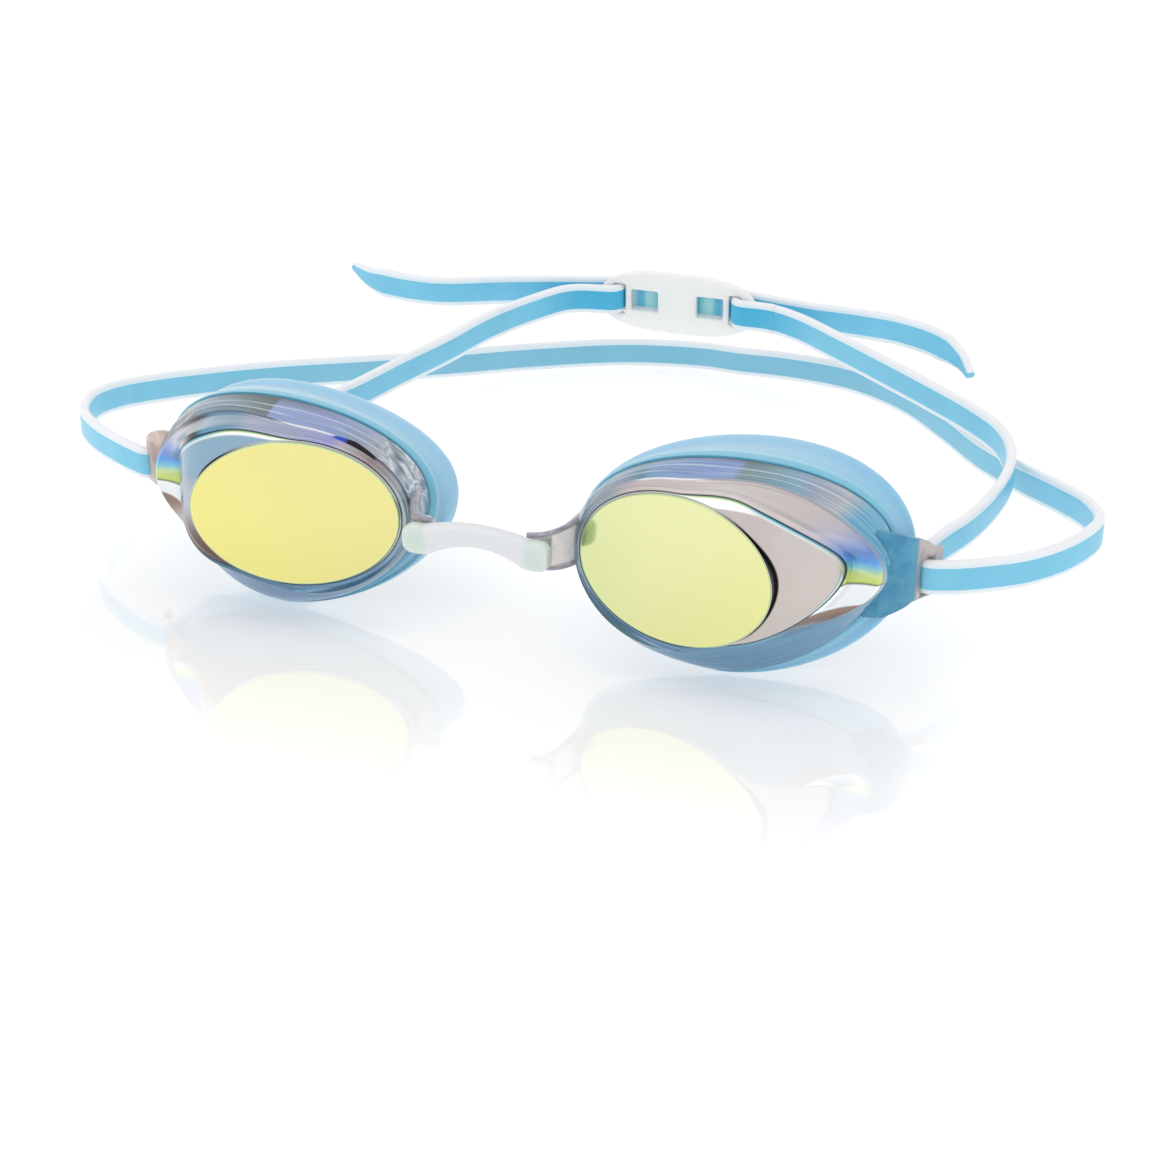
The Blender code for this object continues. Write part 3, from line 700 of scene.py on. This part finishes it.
def coated_wall(side_name):
    """The clear shell with its mirror coat: a front facet with rainbow bands at the temple, holding
    a painted reflection band, and a side wall streaked with blue, violet and grey-green along the
    top, with painted highlights along its ridge and upper wall and painted sparkle by the nose."""
    look = SHELL_LOOK[side_name]
    paint = Paint(side_name + "_coated_wall", Metallic=0.75, Roughness=0.22, Coat_Weight=0.35,
                  Coat_Roughness=0.06)
    turn, across = paint.wall()
    _, _, z = paint.place_mm()
    along = paint.add("CombineXYZ", paint.times(turn, 0.010), paint.times(across, 12.0),
                      look["seed"]).outputs[0]
    streak = paint.noise(2.4, 3.0, along)
    grey = paint.ramp(streak, [
        (0.26, 190, 190, 196), (0.42, 236, 238, 242), (0.5, 255, 255, 255),
        (0.60, 226, 230, 236), (0.78, 250, 250, 250)])
    above = spread(paint, turn, 96.0, 58.0, 14.0)
    square = paint.times(paint.math("SUBTRACT", across, 0.65), 30.0, above)
    square = paint.math("SUBTRACT", turn, square)
    wall = shaded(paint, by_turn(paint, square, WALL_TONES[side_name]), grey)
    # Painted highlights: thin pale lines running round the upper wall, broken up by the streaks.
    gleam = paint.ramp(across, [
        (0.0, NONE), (0.475, NONE), (0.495, (0.6, 0.6, 0.6, 1.0)), (0.52, NONE), (0.65, NONE),
        (0.68, (0.7, 0.7, 0.7, 1.0)), (0.70, NONE)])
    broken = paint.times(paint.between(streak, 0.36, 0.52), above)
    wall = paint.mix(paint.times(gleam, broken), wall, rgb(226, 232, 244))
    # A darker band on the wall next to the rim, over the top of the cup.
    rim_band_share = paint.times(paint.between(across, look["rim_band_from"], 0.94),
                        spread(paint, turn, *look["rim_band_turns"]), 0.6)
    wall = paint.mix(rim_band_share, wall, look["rim_band_tone"])
    # Painted sparkle by the nose: small highlights among darker flecks.
    sparkle = paint.ramp(paint.noise(9.0, 1.0), [
        (0.34, 84, 98, 110), (0.42, 176, 190, 200), (0.47, 240, 244, 248),
        (0.52, 134, 152, 166), (0.58, 222, 214, 220), (0.66, 120, 140, 152)])
    by_nose = spread(paint, turn, *look["sparkle_turns"])
    wall = paint.mix(paint.times(by_nose, look["sparkle_share"]), wall, sparkle)
    if side_name == "left":
        murk = paint.ramp(paint.noise(15.0, 2.0), [
            (0.40, 44, 36, 34), (0.5, 120, 96, 84), (0.58, 110, 150, 170), (0.7, 196, 186, 186)])
        wall = paint.mix(paint.times(spread(paint, turn, 30.0, 10.0, 6.0), 0.8), wall, murk)

    calm = paint.mix(look["calm"], grey, WHITE)
    facet = shaded(paint, by_turn(paint, turn, FACET_TONES[side_name]), calm)
    height = paint.add("MapRange", z, -12.0, 12.0, 0.0, 1.0).outputs[0]
    # Rainbow bands of the mirror coat on the temple facet; the white band among them is a painted
    # reflection.
    rainbow = paint.ramp(height, [
        (look["deep"] - 0.04, 120, 150, 168), (look["deep"], 96, 86, 82),
        (look["fair"] - 0.008, 150, 126, 114), (look["fair"], 240, 246, 250),
        (0.388, 252, 254, 255), (0.396, 90, 110, 96), (0.408, 208, 222, 120),
        (0.4625, 196, 216, 150), (0.508, 130, 196, 216), (0.558, 96, 160, 226),
        (0.633, 110, 140, 206), (0.729, 150, 164, 200), (0.833, 190, 186, 196)])
    facet = paint.mix(spread(paint, turn, *look["rainbow_turns"]), facet, rainbow)

    colour = paint.mix(paint.between(across, 0.345, 0.355), facet, wall)
    # Painted highlight along the ridge over the top of the cup; elsewhere the ridge line takes the
    # ridge tone.
    ridge = paint.ramp(across, [
        (0.0, NONE), (0.331, NONE), (0.337, WHITE), (0.345, WHITE), (0.351, NONE)])
    ridge_highlight = spread(paint, turn, 94.0, 16.0, 5.0)
    ridge_tone = paint.mix(ridge_highlight, look["ridge"], rgb(244, 246, 250))
    colour = paint.mix(paint.times(ridge, 0.85), colour, ridge_tone)
    if side_name == "left":
        swell = spread(paint, turn, 118.5, 6.0, 12.0)
        reach = paint.math("MULTIPLY_ADD", swell, 0.07, 0.34)
        wedge = paint.times(paint.between(paint.math("SUBTRACT", reach, across), 0.0, 0.012),
                            paint.between(across, 0.318, 0.326), paint.between(swell, 0.02, 0.2))
        tone = paint.mix(paint.between(turn, 112.5, 114.0), rgb(48, 74, 190), BLACK)
        colour = paint.mix(wedge, colour, tone)
    lines = paint.ramp(across, [
        (0.0, 50, 70, 84), (0.025, 70, 96, 112), (0.045, WHITE), (0.09, WHITE),
        (0.12, 236, 240, 242), (0.16, WHITE), (0.94, WHITE), (0.952, BLACK), (1.0, BLACK)])
    paint.set("Base Color", shaded(paint, colour, lines))
    paint.bump(streak, 0.0001, 0.35)
    return paint.material

def clear_plastic(name, tint, deep, alpha, end=None):
    """Clear moulded plastic that shows what is behind it, cloudy in places. end is the
    colour of its rough outer end, where the strap passes."""
    paint = Paint(name, Metallic=0.1, Roughness=0.1, Coat_Weight=0.7, Coat_Roughness=0.03,
                  Alpha=alpha)
    cloud = paint.noise(5.0, 3.0)
    colour = paint.mix(paint.between(cloud, 0.35, 0.7), tint, deep)
    lumps = paint.noise(900.0, 2.0)
    if end:
        x, _, _ = paint.place_mm()
        outer = paint.between(paint.math("ABSOLUTE", x), 69.9, 70.5)
        rough = paint.mix(paint.between(lumps, 0.42, 0.6), end, rgb(150, 136, 136))
        colour = paint.mix(outer, colour, rough)
    paint.set("Base Color", colour)
    paint.bump(lumps, 0.0002, 0.35)
    return paint.material


def silicone():
    """Soft translucent blue seal: a deeper band where it lies over the shell's rim."""
    paint = Paint("blue_silicone", Roughness=0.28, Coat_Weight=0.25, Coat_Roughness=0.2,
                  Subsurface_Weight=0.35, Subsurface_Scale=0.003, IOR=1.42)
    paint.shader.inputs["Subsurface Radius"].default_value = (0.5, 0.9, 1.0)
    _, across = paint.wall()
    cloud = paint.noise(60.0, 2.0)
    band_colour = paint.ramp(across, [
        (0.0, 98, 178, 216), (0.085, 96, 178, 212), (0.15, 112, 186, 218),
        (0.205, 122, 192, 220), (0.215, 170, 214, 230), (0.24, 150, 200, 226),
        (0.36, 154, 201, 229), (0.44, 150, 198, 224), (0.60, 172, 214, 236),
        (0.80, 150, 202, 230), (1.0, 120, 190, 222)])
    x, _, _ = paint.place_mm()
    outward = paint.times(paint.between(x, 48.0, 66.0), 0.5)
    band_colour = paint.mix(outward, band_colour, rgb(104, 184, 222))
    paint.set("Base Color", paint.mix(paint.times(cloud, 0.16), band_colour,
                                      rgb(190, 222, 240)))
    paint.bump(paint.noise(900.0, 2.0), 0.00003, 0.3)
    return paint.material


def elastic():
    """The band: a blue stripe inside milky translucent edges, faintly ribbed lengthwise. It is
    bluer near the clip, with pale bands, painted highlights, where the clip's windows show it."""
    paint = Paint("strap_band", Roughness=0.38, Subsurface_Weight=0.3, Subsurface_Scale=0.0015,
                  Coat_Weight=0.15, Coat_Roughness=0.25)
    paint.shader.inputs["Subsurface Radius"].default_value = (1.0, 1.0, 1.0)
    parts = paint.add("SeparateXYZ", paint.add("UVMap", uv_map="Wall").outputs[0]).outputs
    off = paint.math("ABSOLUTE", paint.math("SUBTRACT", parts[1], 0.5))
    wander = paint.noise(6.0, 1.0, paint.add("CombineXYZ", parts[0], 0.0, 0.0).outputs[0])
    edge = paint.math("MULTIPLY_ADD", wander, 0.012, 0.322)
    stripe = paint.add("MapRange", paint.math("SUBTRACT", off, edge), -0.012, 0.014, 1.0, 0.0,
                       interpolation_type="SMOOTHSTEP").outputs[0]
    tone = paint.noise(1.2, 2.0, paint.add("CombineXYZ", parts[0], 0.0, 3.0).outputs[0])
    x, y, z = paint.place_mm()
    low = paint.mix(tone, rgb(122, 190, 214), rgb(136, 200, 222))
    high = paint.mix(tone, rgb(112, 194, 224), rgb(128, 204, 232))
    blue = paint.mix(paint.between(z, -15.0, -6.0), low, high)
    near_clip = paint.times(paint.between(paint.math("ABSOLUTE", x), 36.0, 15.0),
                            paint.between(y, 122.0, 112.5), paint.between(y, 96.0, 110.0))
    blue = paint.mix(paint.times(near_clip, 0.9), blue, rgb(54, 176, 218))
    # Painted highlights: pale bands where the band curves inside the clip's windows.
    from_clip = paint.math("ABSOLUTE", paint.math("SUBTRACT", x, CLIP_CENTRE[0]))
    window_highlight_bands = paint.ramp(paint.times(from_clip, 0.1), [
        (0.40, 96, 196, 212), (0.58, 160, 218, 228), (0.70, 160, 218, 228),
        (0.78, 96, 188, 218), (0.88, 90, 182, 218), (0.98, 196, 226, 240)])
    behind = paint.times(paint.between(from_clip, 10.8, 10.2), paint.between(y, 113.8, 114.2),
                         paint.between(y, 116.1, 115.9))
    blue = paint.mix(behind, blue, window_highlight_bands)
    milk = paint.mix(paint.between(off, 0.36, 0.5), rgb(224, 236, 242), rgb(238, 239, 243))
    paint.set("Base Color", paint.mix(stripe, milk, blue))
    ribs = paint.math("SINE", paint.times(parts[1], 92.0))
    grain = paint.noise(900.0, 2.0)
    paint.bump(paint.math("MULTIPLY_ADD", grain, 0.6, ribs), 0.00002, 0.5)
    return paint.material


def frosted(name, colour, shade, ends=None):
    """Milky moulded plastic that lets a little light into its edges. ends tints both ends."""
    paint = Paint(name, Roughness=0.36, Subsurface_Weight=0.5, Subsurface_Scale=0.003,
                  Coat_Weight=0.2, Coat_Roughness=0.2)
    paint.shader.inputs["Subsurface Radius"].default_value = (1.0, 1.0, 1.0)
    cloud = paint.noise(90.0, 3.0)
    colour = paint.mix(paint.between(cloud, 0.3, 0.7), colour, shade)
    if ends:
        x, _, _ = paint.place_mm()
        reach = paint.math("ABSOLUTE", x)
        colour = paint.mix(paint.between(reach, 8.2, 9.4), colour, ends)
    paint.set("Base Color", colour)
    paint.bump(paint.noise(700.0, 3.0), 0.00003, 0.4)
    return paint.material


# Cups -------------------------------------------------------------------------------------

def lens(name, side, oval_paint, side_paint):
    """The window: its raised flat oval, the step round that, the side window and the back."""
    foot = on_window([(x + 0.3 * max(math.cos(t), 0.0) ** 2, y, z)
                      for (x, y, z), t in zip(oval_ring(1.0, 0.22, 0.0), TURNS)])
    edge = window_ring(-0.12)
    rings = [oval_ring(0.5, 0.0, -OVAL_RAISE), oval_ring(1.0, -0.35, -OVAL_RAISE),
             oval_ring(1.0, -0.10, -OVAL_RAISE), oval_ring(1.0, 0.0, 0.14 - OVAL_RAISE),
             on_window(oval_ring(1.0, 0.02, 0.0), -0.12), foot]
    across = [0.0, 0.49, 0.51, 0.53, 0.64, FOOT_AT]
    slots = [0, 1, 1, 1, 1]
    for share in (0.12, 0.3, 0.5, 0.7, 0.85, 0.94):
        rings.append(on_window(between_rings(foot, edge, share)))
        across.append(FOOT_AT + (EDGE_AT - FOOT_AT) * share)
    rings += [edge, window_ring(0.0, 0.12), window_ring(0.0, LENS_THICK - 0.1),
              window_ring(-0.1, LENS_THICK)]
    across += [EDGE_AT, 0.95, 1.0, 1.0]
    slots += [2] * 10
    for share in (0.8, 0.5, 0.2, 0.0):
        rings.append(on_window(between_rings(foot, edge, share), LENS_THICK))
        across.append(1.0)
    rings.append(oval_ring(0.7, 0.0, LENS_THICK))
    across.append(1.0)
    slots += [3] * 5
    bm = loft(on_side(rings, side), across, slots=slots)
    made = mesh_object(name + "_mirror", bm, [oval_paint, MIRROR_STEP, side_paint, LENS_BACK])
    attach(made, name.split("_")[0] + "_eyecup")
    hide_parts(name)


def frame_wall(side_name, side, finish):
    """The shell: front facet, ridge, side wall with two shallow mould steps, rim and tongue."""
    step = -TONGUE_STEP
    shell = edge_ring(SHELL_EDGE, SHELL_DEPTH)
    bezel = edge_ring(BEZEL_EDGE, BEZEL_DEPTH)
    lip = window_ring(GAP + 0.4, -0.05)
    rim = rim_ring(RIM_RING)
    rings = [window_ring(0.02, 0.3), window_ring(0.0, 0.03), window_ring(0.22, -0.08),
             lip, between_rings(lip, bezel, 0.25, 0.12), between_rings(lip, bezel, 0.6, 0.16),
             between_rings(lip, bezel, 0.9, 0.04), bezel, between_rings(bezel, shell, 0.55, -0.06),
             shell]
    across = [0.0, 0.03, 0.07, 0.10, 0.16, 0.22, 0.29, 0.32, 0.335, 0.35]
    swell = {0.08: 0.15, 0.28: 0.42, 0.30: 0.20, 0.50: 0.34, 0.62: 0.36, 0.64: 0.16, 0.80: 0.16,
             0.94: 0.06}
    for share, proud in swell.items():
        middle = between_rings(shell, rim, share)
        rings.append([(x + proud * math.cos(t), y, z + proud * math.sin(t))
                      for (x, y, z), t in zip(middle, TURNS)])
        across.append(0.35 + 0.6 * share)
    rings += [rim, rim_ring(RIM_RING, -0.15, 0.2), rim_ring(RIM_RING, step, 0.2),
              rim_ring(RIM_RING, step, TONGUE_DEPTH),
              rim_ring(RIM_RING, step - TONGUE_THICK, TONGUE_DEPTH),
              window_ring(-LEDGE_WIDTH, LENS_BED + LEDGE_THICK),
              window_ring(-LEDGE_WIDTH, LENS_BED),
              window_ring(0.1, LENS_BED)]
    across += [0.955, 0.97, 1.0, 0.8, 0.6, 0.5, 0.5, 0.0]
    bm = loft(on_side(rings, side), across, around=True)
    made = mesh_object(side_name + "_frame_shell", bm, [finish], angle=24)
    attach(made, side_name + "_eyecup")
    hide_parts(side_name + "_frame")


def tab_mesh(name, path, heights, side, radius, finish):
    route = smooth_route([(side * x, y, z) for x, y, z in path], 0.6)
    spots = np.linspace(0, 1, len(path))
    tall = np.interp(np.linspace(0, 1, len(route)), spots, heights)
    return band(name, route, tall, TAB_THICK, radius, finish)


def temple_tab(side_name, side, finish):
    """The flat tongue that comes out from behind the shell to the strap's bar, with its slot."""
    tab = tab_mesh(side_name + "_temple_tab", TEMPLE_PATH[side_name], TEMPLE_HEIGHTS[side_name],
                   side, 0.45, finish)
    slot_y = BAR[1] - BAR_RADIUS - TEMPLE_SLOT_LENGTH / 2
    cut(tab, box_bm((side * (BAR[0] - 1.0), slot_y, BAR[2]),
                    (6.0, TEMPLE_SLOT_LENGTH, SLOT_HEIGHT)))
    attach(tab, side_name + "_eyecup")


def nose_tab(side_name, side, finish):
    """The tongue that the bridge hooks into: a plate with a raised rail above and below."""
    tab = tab_mesh(side_name + "_nose_tab", NOSE_PATH, NOSE_HEIGHTS, side, 0.4, finish)
    cut(tab, box_bm((side * PIVOT[0], PIVOT[1], PIVOT[2]), (NOSE_SLOT[0], 5.0, NOSE_SLOT[1])))
    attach(tab, side_name + "_eyecup")
    route = smooth_route([(side * x, y, z) for x, y, z in NOSE_PATH], 0.6)
    for way, label in ((1, "upper"), (-1, "lower")):
        lift = np.interp(np.linspace(0, 1, len(route)), (0, 0.6, 1), (4.0, 3.3, 2.6))
        rail_route = route + np.stack([0 * lift, -0.55 + 0 * lift, way * lift], axis=1)
        rail = band(f"{side_name}_nose_rail_{label}", rail_route, [0.9] * len(route), 1.0, 0.4,
                    NOSE_RAIL)
        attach(rail, side_name + "_eyecup")


def gasket(side_name, side, finish):
    """The soft seal: it grips the rim's tongue, narrows to a waist and swells to a lip."""
    waist = mixed(RIM_RING, SEAL_RING, 0.4)
    inner = mixed(RIM_RING, SEAL_RING, 0.6)
    tongue = 0.35 - TONGUE_STEP
    rings = [rim_ring(RIM_RING, tongue, 0.5), rim_ring(RIM_RING, 0.0, 0.42),
             rim_ring(RIM_RING, 0.3, 0.75), rim_ring(waist, 0.2), rim_ring(SEAL_RING, -0.5, -2.2),
             rim_ring(SEAL_RING), rim_ring(SEAL_RING, -0.7, 1.9), rim_ring(SEAL_RING, -2.4, 2.8),
             rim_ring(SEAL_RING, -SEAL_LIP, 1.9), rim_ring(inner, -3.4, 1.6),
             rim_ring(RIM_RING, -2.5, TONGUE_DEPTH + 0.4),
             rim_ring(RIM_RING, tongue, TONGUE_DEPTH + 0.35)]
    lean = (0.0, 0.0, 0.0, 0.3, 0.9, 1.0, 1.0, 1.0, 1.0, 0.6, 0.0, 0.0)
    shift, top = SEAL_SHIFT[side], SEAL_TOP[side]
    placed = [[(x + shift * share, y, z * (1 + (top - 1) * share) if z > 0 else z)
               for x, y, z in ring] for ring, share in zip(on_side(rings, side), lean)]
    smooth = smooth_section(placed, 5)
    across = [i / len(smooth) for i in range(len(smooth))]
    made = mesh_object(side_name + "_seal", loft(smooth, across, around=True), [finish], angle=60)
    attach(made, side_name + "_eyecup")
    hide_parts(side_name + "_gasket")


# Bridge, clip and strap -------------------------------------------------------------------

BRIDGE_THICK = 2.3
BRIDGE_CLEAR = 0.5
BRIDGE_PEG = (1.3, 3.4)
BRIDGE_CATCH = (1.9, 3.9)
BRIDGE_END_HEIGHT = 5.2
BRIDGE_MID_HEIGHT = 3.8
BRIDGE_RISE = 1.9


def nose_bridge(finish):
    """A bowed bar in front of both nose tabs, with a rounded block, a peg and a catch at
    each end."""
    front = PIVOT[1] - TAB_THICK / 2 - BRIDGE_CLEAR
    end_x = PIVOT[0] + 1.9
    route = []
    heights = []
    for s in np.linspace(-1, 1, 61):
        x = end_x * s
        bow = 1 - min(1.0, abs(x) / (PIVOT[0] - 1.6)) ** 2
        tall = BRIDGE_MID_HEIGHT + (BRIDGE_END_HEIGHT - BRIDGE_MID_HEIGHT) * (1 - bow)
        end = max(0.0, abs(s) - 0.88) / 0.12
        heights.append(tall * math.sqrt(max(0.0, 1 - 0.6 * end ** 2)))
        route.append((x, front + 0.2 * bow - BRIDGE_THICK / 2, PIVOT[2] + BRIDGE_RISE * bow))
    bar = band("nose_bridge_bar", np.array(route), heights, BRIDGE_THICK, 0.7, finish)
    back = PIVOT[1] + TAB_THICK / 2 + BRIDGE_CLEAR
    for side in (-1, 1):
        peg = box_bm((side * PIVOT[0], (front + back) / 2 + 0.3, PIVOT[2]),
                     (BRIDGE_PEG[0], back - front + 1.6, BRIDGE_PEG[1]))
        cut(bar, peg, "UNION")
        catch = box_bm((side * PIVOT[0], back + 0.6, PIVOT[2]),
                       (BRIDGE_CATCH[0], 1.2, BRIDGE_CATCH[1]))
        cut(bar, catch, "UNION")
    round_edges(bar, 0.22)
    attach(bar, "bridge")
    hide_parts("nose_bridge")


def strap_clip(finish):
    """A thin oval plate with rounded edges, and a slot and a window on each side."""
    curve = bpy.data.curves.new("clip_outline", "CURVE")
    curve.dimensions = "2D"
    curve.fill_mode = "BOTH"
    edge = 0.35 * MM
    curve.bevel_depth = edge
    curve.bevel_resolution = 3
    curve.extrude = CLIP_THICK / 2 * MM - edge
    curve.offset = -edge

    def outline(points):
        spline = curve.splines.new("POLY")
        spline.points.add(len(points) - 1)
        for point, (x, z) in zip(spline.points, points):
            point.co = (x * MM, z * MM, 0.0, 1.0)
        spline.use_cyclic_u = True

    count = 96
    oval = []
    for i in range(count):
        turn = 2 * math.pi * i / count
        x = CLIP_LENGTH / 2 * math.copysign(abs(math.cos(turn)) ** CLIP_BLUNT, math.cos(turn))
        oval.append((x, CLIP_HEIGHT / 2 * math.sin(turn)))
    outline(oval)
    for side in (-1, 1):
        for (near, far), tall in ((CLIP_WINDOW, CLIP_WINDOW_HEIGHT), (CLIP_SLOT, CLIP_SLOT_HEIGHT)):
            section = rounded_section(far - near, tall, 0.5)
            outline([(side * (near + far) / 2 + a, b) for a, b in section])
    holder = add_object("clip_outline", curve)
    graph = bpy.context.evaluated_depsgraph_get()
    mesh = bpy.data.meshes.new_from_object(holder.evaluated_get(graph))
    bpy.data.objects.remove(holder, do_unlink=True)
    for vert in mesh.vertices:
        x, z, y = vert.co / MM
        vert.co = place((CLIP_CENTRE[0] + x, CLIP_CENTRE[1] + y, CLIP_CENTRE[2] + z))
    bm = bmesh.new()
    bm.from_mesh(mesh)
    bmesh.ops.remove_doubles(bm, verts=bm.verts, dist=1e-6)
    plate = mesh_object("strap_clip_plate", bm, [finish], angle=40)
    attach(plate, "clip")
    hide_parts("strap_clip")


def bar_turn(side, first, last, pieces):
    """Points of the band's centre line round a temple bar, by angle from the outside."""
    return [(side * (BAR[0] + TURN_RADIUS * math.cos(turn)),
             BAR[1] + TURN_RADIUS * math.sin(turn), BAR[2])
            for turn in np.radians(np.linspace(first, last, pieces))]


def rear_strap(finish):
    """One run from temple bar to temple bar, round the back of the head."""
    points = [*bar_turn(-1, -126, -75, 6), *LEFT_REAR, REAR_MIDDLE, *reversed(RIGHT_REAR),
              *bar_turn(1, -75, -126, 6)]
    route = smooth_route(points, 1.2)
    made = band("rear_strap_band", route, [STRAP_WIDTH] * len(route), STRAP_THICK, STRAP_EDGE,
                finish)
    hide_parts("left_rear_strap", "right_rear_strap")
    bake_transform(made)


def arc(centre, radius, first, last, pieces):
    """Points on an arc in x and y, at the clip's height."""
    angles = np.radians(np.linspace(first, last, pieces))
    return [(centre[0] + radius * math.cos(a), centre[1] + radius * math.sin(a), CLIP_CENTRE[2])
            for a in angles]


def clip_route():
    """The right band's way in front of the clip's end, through its slot, along its back as
    far as the window, and out again behind itself."""
    layer = CLIP_THICK / 2 + GAP + STRAP_THICK / 2
    slot_x = CLIP_CENTRE[0] + sum(CLIP_SLOT) / 2
    fold = (STRAP_THICK + GAP) / 2
    fold_x = CLIP_CENTRE[0] + CLIP_FOLD
    fold_y = CLIP_CENTRE[1] + layer + fold
    down = arc((slot_x + layer, CLIP_CENTRE[1]), layer, 270, 180, 6)
    under = arc((slot_x - layer, CLIP_CENTRE[1]), layer, 0, 90, 6)
    back = arc((fold_x, fold_y), fold, 270, 90, 9)
    return [*down, *under[1:], *back, (slot_x, fold_y + fold, CLIP_CENTRE[2])]


def upper_strap(side_name, side, route, tail, finish):
    """From the temple bar to the clip, through its slot, and back out as a free tail. It is
    two pieces: on the right the part in the clip goes with the clip when that slides."""
    through = [(CLIP_CENTRE[0] + side * (x - CLIP_CENTRE[0]), y, z) for x, y, z in clip_route()]
    points = smooth_route([*bar_turn(side, -127, -185, 6), *route, *through, *tail], 1.0)
    steps = np.linalg.norm(np.diff(points, axis=0), axis=1)
    travelled = np.concatenate([[0.0], np.cumsum(steps)])
    tall = STRAP_WIDTH * np.clip(0.3 + 0.7 * (travelled[-1] - travelled) / TAIL_TIP, 0.3, 1.0)
    reach = side * (points[:, 0] - CLIP_CENTRE[0])
    last = int(np.argmax(reach < HELD_UNTIL[side_name]))
    first = int(np.argmax(reach < THREADED_FROM[side_name]))
    held = band(side_name + "_upper_band", points[:last + 1], tall[:last + 1], STRAP_THICK,
                STRAP_EDGE, finish)
    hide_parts(side_name + "_upper_strap")
    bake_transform(held)
    extra = SLEEVE[side_name]
    threaded = band(side_name + "_threaded_band", points[first:], tall[first:] + extra,
                    STRAP_THICK + extra, STRAP_EDGE, finish, begin=travelled[first] / 10)
    if side_name == "left":
        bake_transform(threaded)
    else:
        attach(threaded, "clip")


# Stage ------------------------------------------------------------------------------------

def aim(obj, at, target):
    obj.location = place(at)
    obj.rotation_euler = (place(target) - place(at)).to_track_quat("-Z", "Y").to_euler()

def floor():
    """A pale gloss floor whose reflection fades towards the front."""
    bm = bmesh.new()
    bmesh.ops.create_grid(bm, x_segments=1, y_segments=1, size=4.0)
    for vert in bm.verts:
        vert.co.z = FLOOR_Z - 0.0001
    paint = Paint("pale_floor", Roughness=0.6)
    paint.set("Base Color", FLOOR_TONE)
    paint.set("Emission Color", WHITE)
    paint.set("Emission Strength", FLOOR_GLOW)
    paint.set("Specular IOR Level", 0.0)
    x, y, _ = paint.place_mm()
    near = paint.times(paint.between(y, -74.0, -10.0), paint.between(y, 34.0, 14.0),
                       paint.between(paint.math("ABSOLUTE", x), 86.0, 70.0))
    gloss = paint.add("BsdfGlossy")
    gloss.inputs["Roughness"].default_value = 0.03
    blend = paint.add("MixShader")
    paint.feed(blend.inputs[0], paint.times(near, FLOOR_GLOSS))
    paint.feed(blend.inputs[1], paint.shader.outputs[0])
    paint.feed(blend.inputs[2], gloss.outputs[0])
    output = paint.tree.nodes["Material Output"]
    paint.feed(output.inputs["Surface"], blend.outputs[0])
    made = mesh_object("floor", bm, [paint.material])

def studio():
    """White all round, and one soft lamp high in front, to the left."""
    world = bpy.data.worlds.new("studio")
    world.use_nodes = True
    background = world.node_tree.nodes["Background"]
    background.inputs["Color"].default_value = WHITE
    background.inputs["Strength"].default_value = WORLD_STRENGTH
    bpy.context.scene.world = world
    lamp = bpy.data.lights.new("key", "AREA")
    lamp.shape = "RECTANGLE"
    lamp.size = KEY_SIZE
    lamp.size_y = KEY_SIZE
    lamp.energy = KEY_POWER
    aim(add_object("key", lamp), KEY_AT, KEY_TARGET)
    bpy.context.scene.view_settings.view_transform = "Standard"

def camera():
    data = bpy.data.cameras.new("view")
    data.lens = CAMERA_LENS
    data.sensor_width = 36.0
    obj = add_object("view", data)
    aim(obj, CAMERA_AT, CAMERA_TARGET)
    bpy.context.scene.camera = obj

camera()
studio()
floor()

MIRROR_STEP = mirror_step("mirror_step")
LEFT_SIDE = mirror_side("mirror_side_left", rgb(132, 158, 182), rgb(104, 150, 180),
                        rgb(112, 90, 84), 58.0, rgb(138, 168, 190))
RIGHT_SIDE = mirror_side("mirror_side_right", rgb(202, 194, 189), rgb(198, 190, 188),
                         rgb(196, 187, 182), 44.0)
LENS_BACK = lens_back("lens_back")
SILICONE = silicone()
BAND = elastic()
LEFT_OVAL = mirror_oval("mirror_oval_left", rgb(230, 222, 147), rgb(233, 225, 139),
                        rgb(228, 221, 149))
RIGHT_OVAL = mirror_oval("mirror_oval_right", rgb(226, 228, 171), rgb(228, 227, 157),
                         rgb(215, 225, 164))
lens("left_lens", -1, LEFT_OVAL, LEFT_SIDE)
lens("right_lens", 1, RIGHT_OVAL, RIGHT_SIDE)
for cup_name, cup_side in (("left", -1), ("right", 1)):
    frame_wall(cup_name, cup_side, coated_wall(cup_name))
    gasket(cup_name, cup_side, SILICONE)
temple_tab("left", -1, clear_plastic("clear_pink", rgb(222, 190, 174), rgb(176, 142, 128), 0.6,
                                     rgb(228, 218, 214)))
temple_tab("right", 1, clear_plastic("clear_blue", rgb(38, 138, 180), rgb(74, 162, 198), 0.88,
                                     rgb(226, 218, 214)))
NOSE_CLEAR = clear_plastic("clear_nose", rgb(244, 226, 224), rgb(214, 206, 214), 0.5)
NOSE_RAIL = clear_plastic("clear_rail", rgb(186, 182, 200), rgb(140, 146, 166), 0.8)
nose_tab("left", -1, NOSE_CLEAR)
nose_tab("right", 1, NOSE_CLEAR)
nose_bridge(frosted("frosted_bridge", rgb(226, 227, 230), rgb(214, 217, 221), rgb(206, 219, 213)))
strap_clip(frosted("frosted_clip", rgb(242, 241, 238), rgb(236, 236, 234)))
rear_strap(BAND)
upper_strap("left", -1, LEFT_UPPER, LEFT_TAIL, BAND)
upper_strap("right", 1, RIGHT_UPPER, RIGHT_TAIL, BAND)
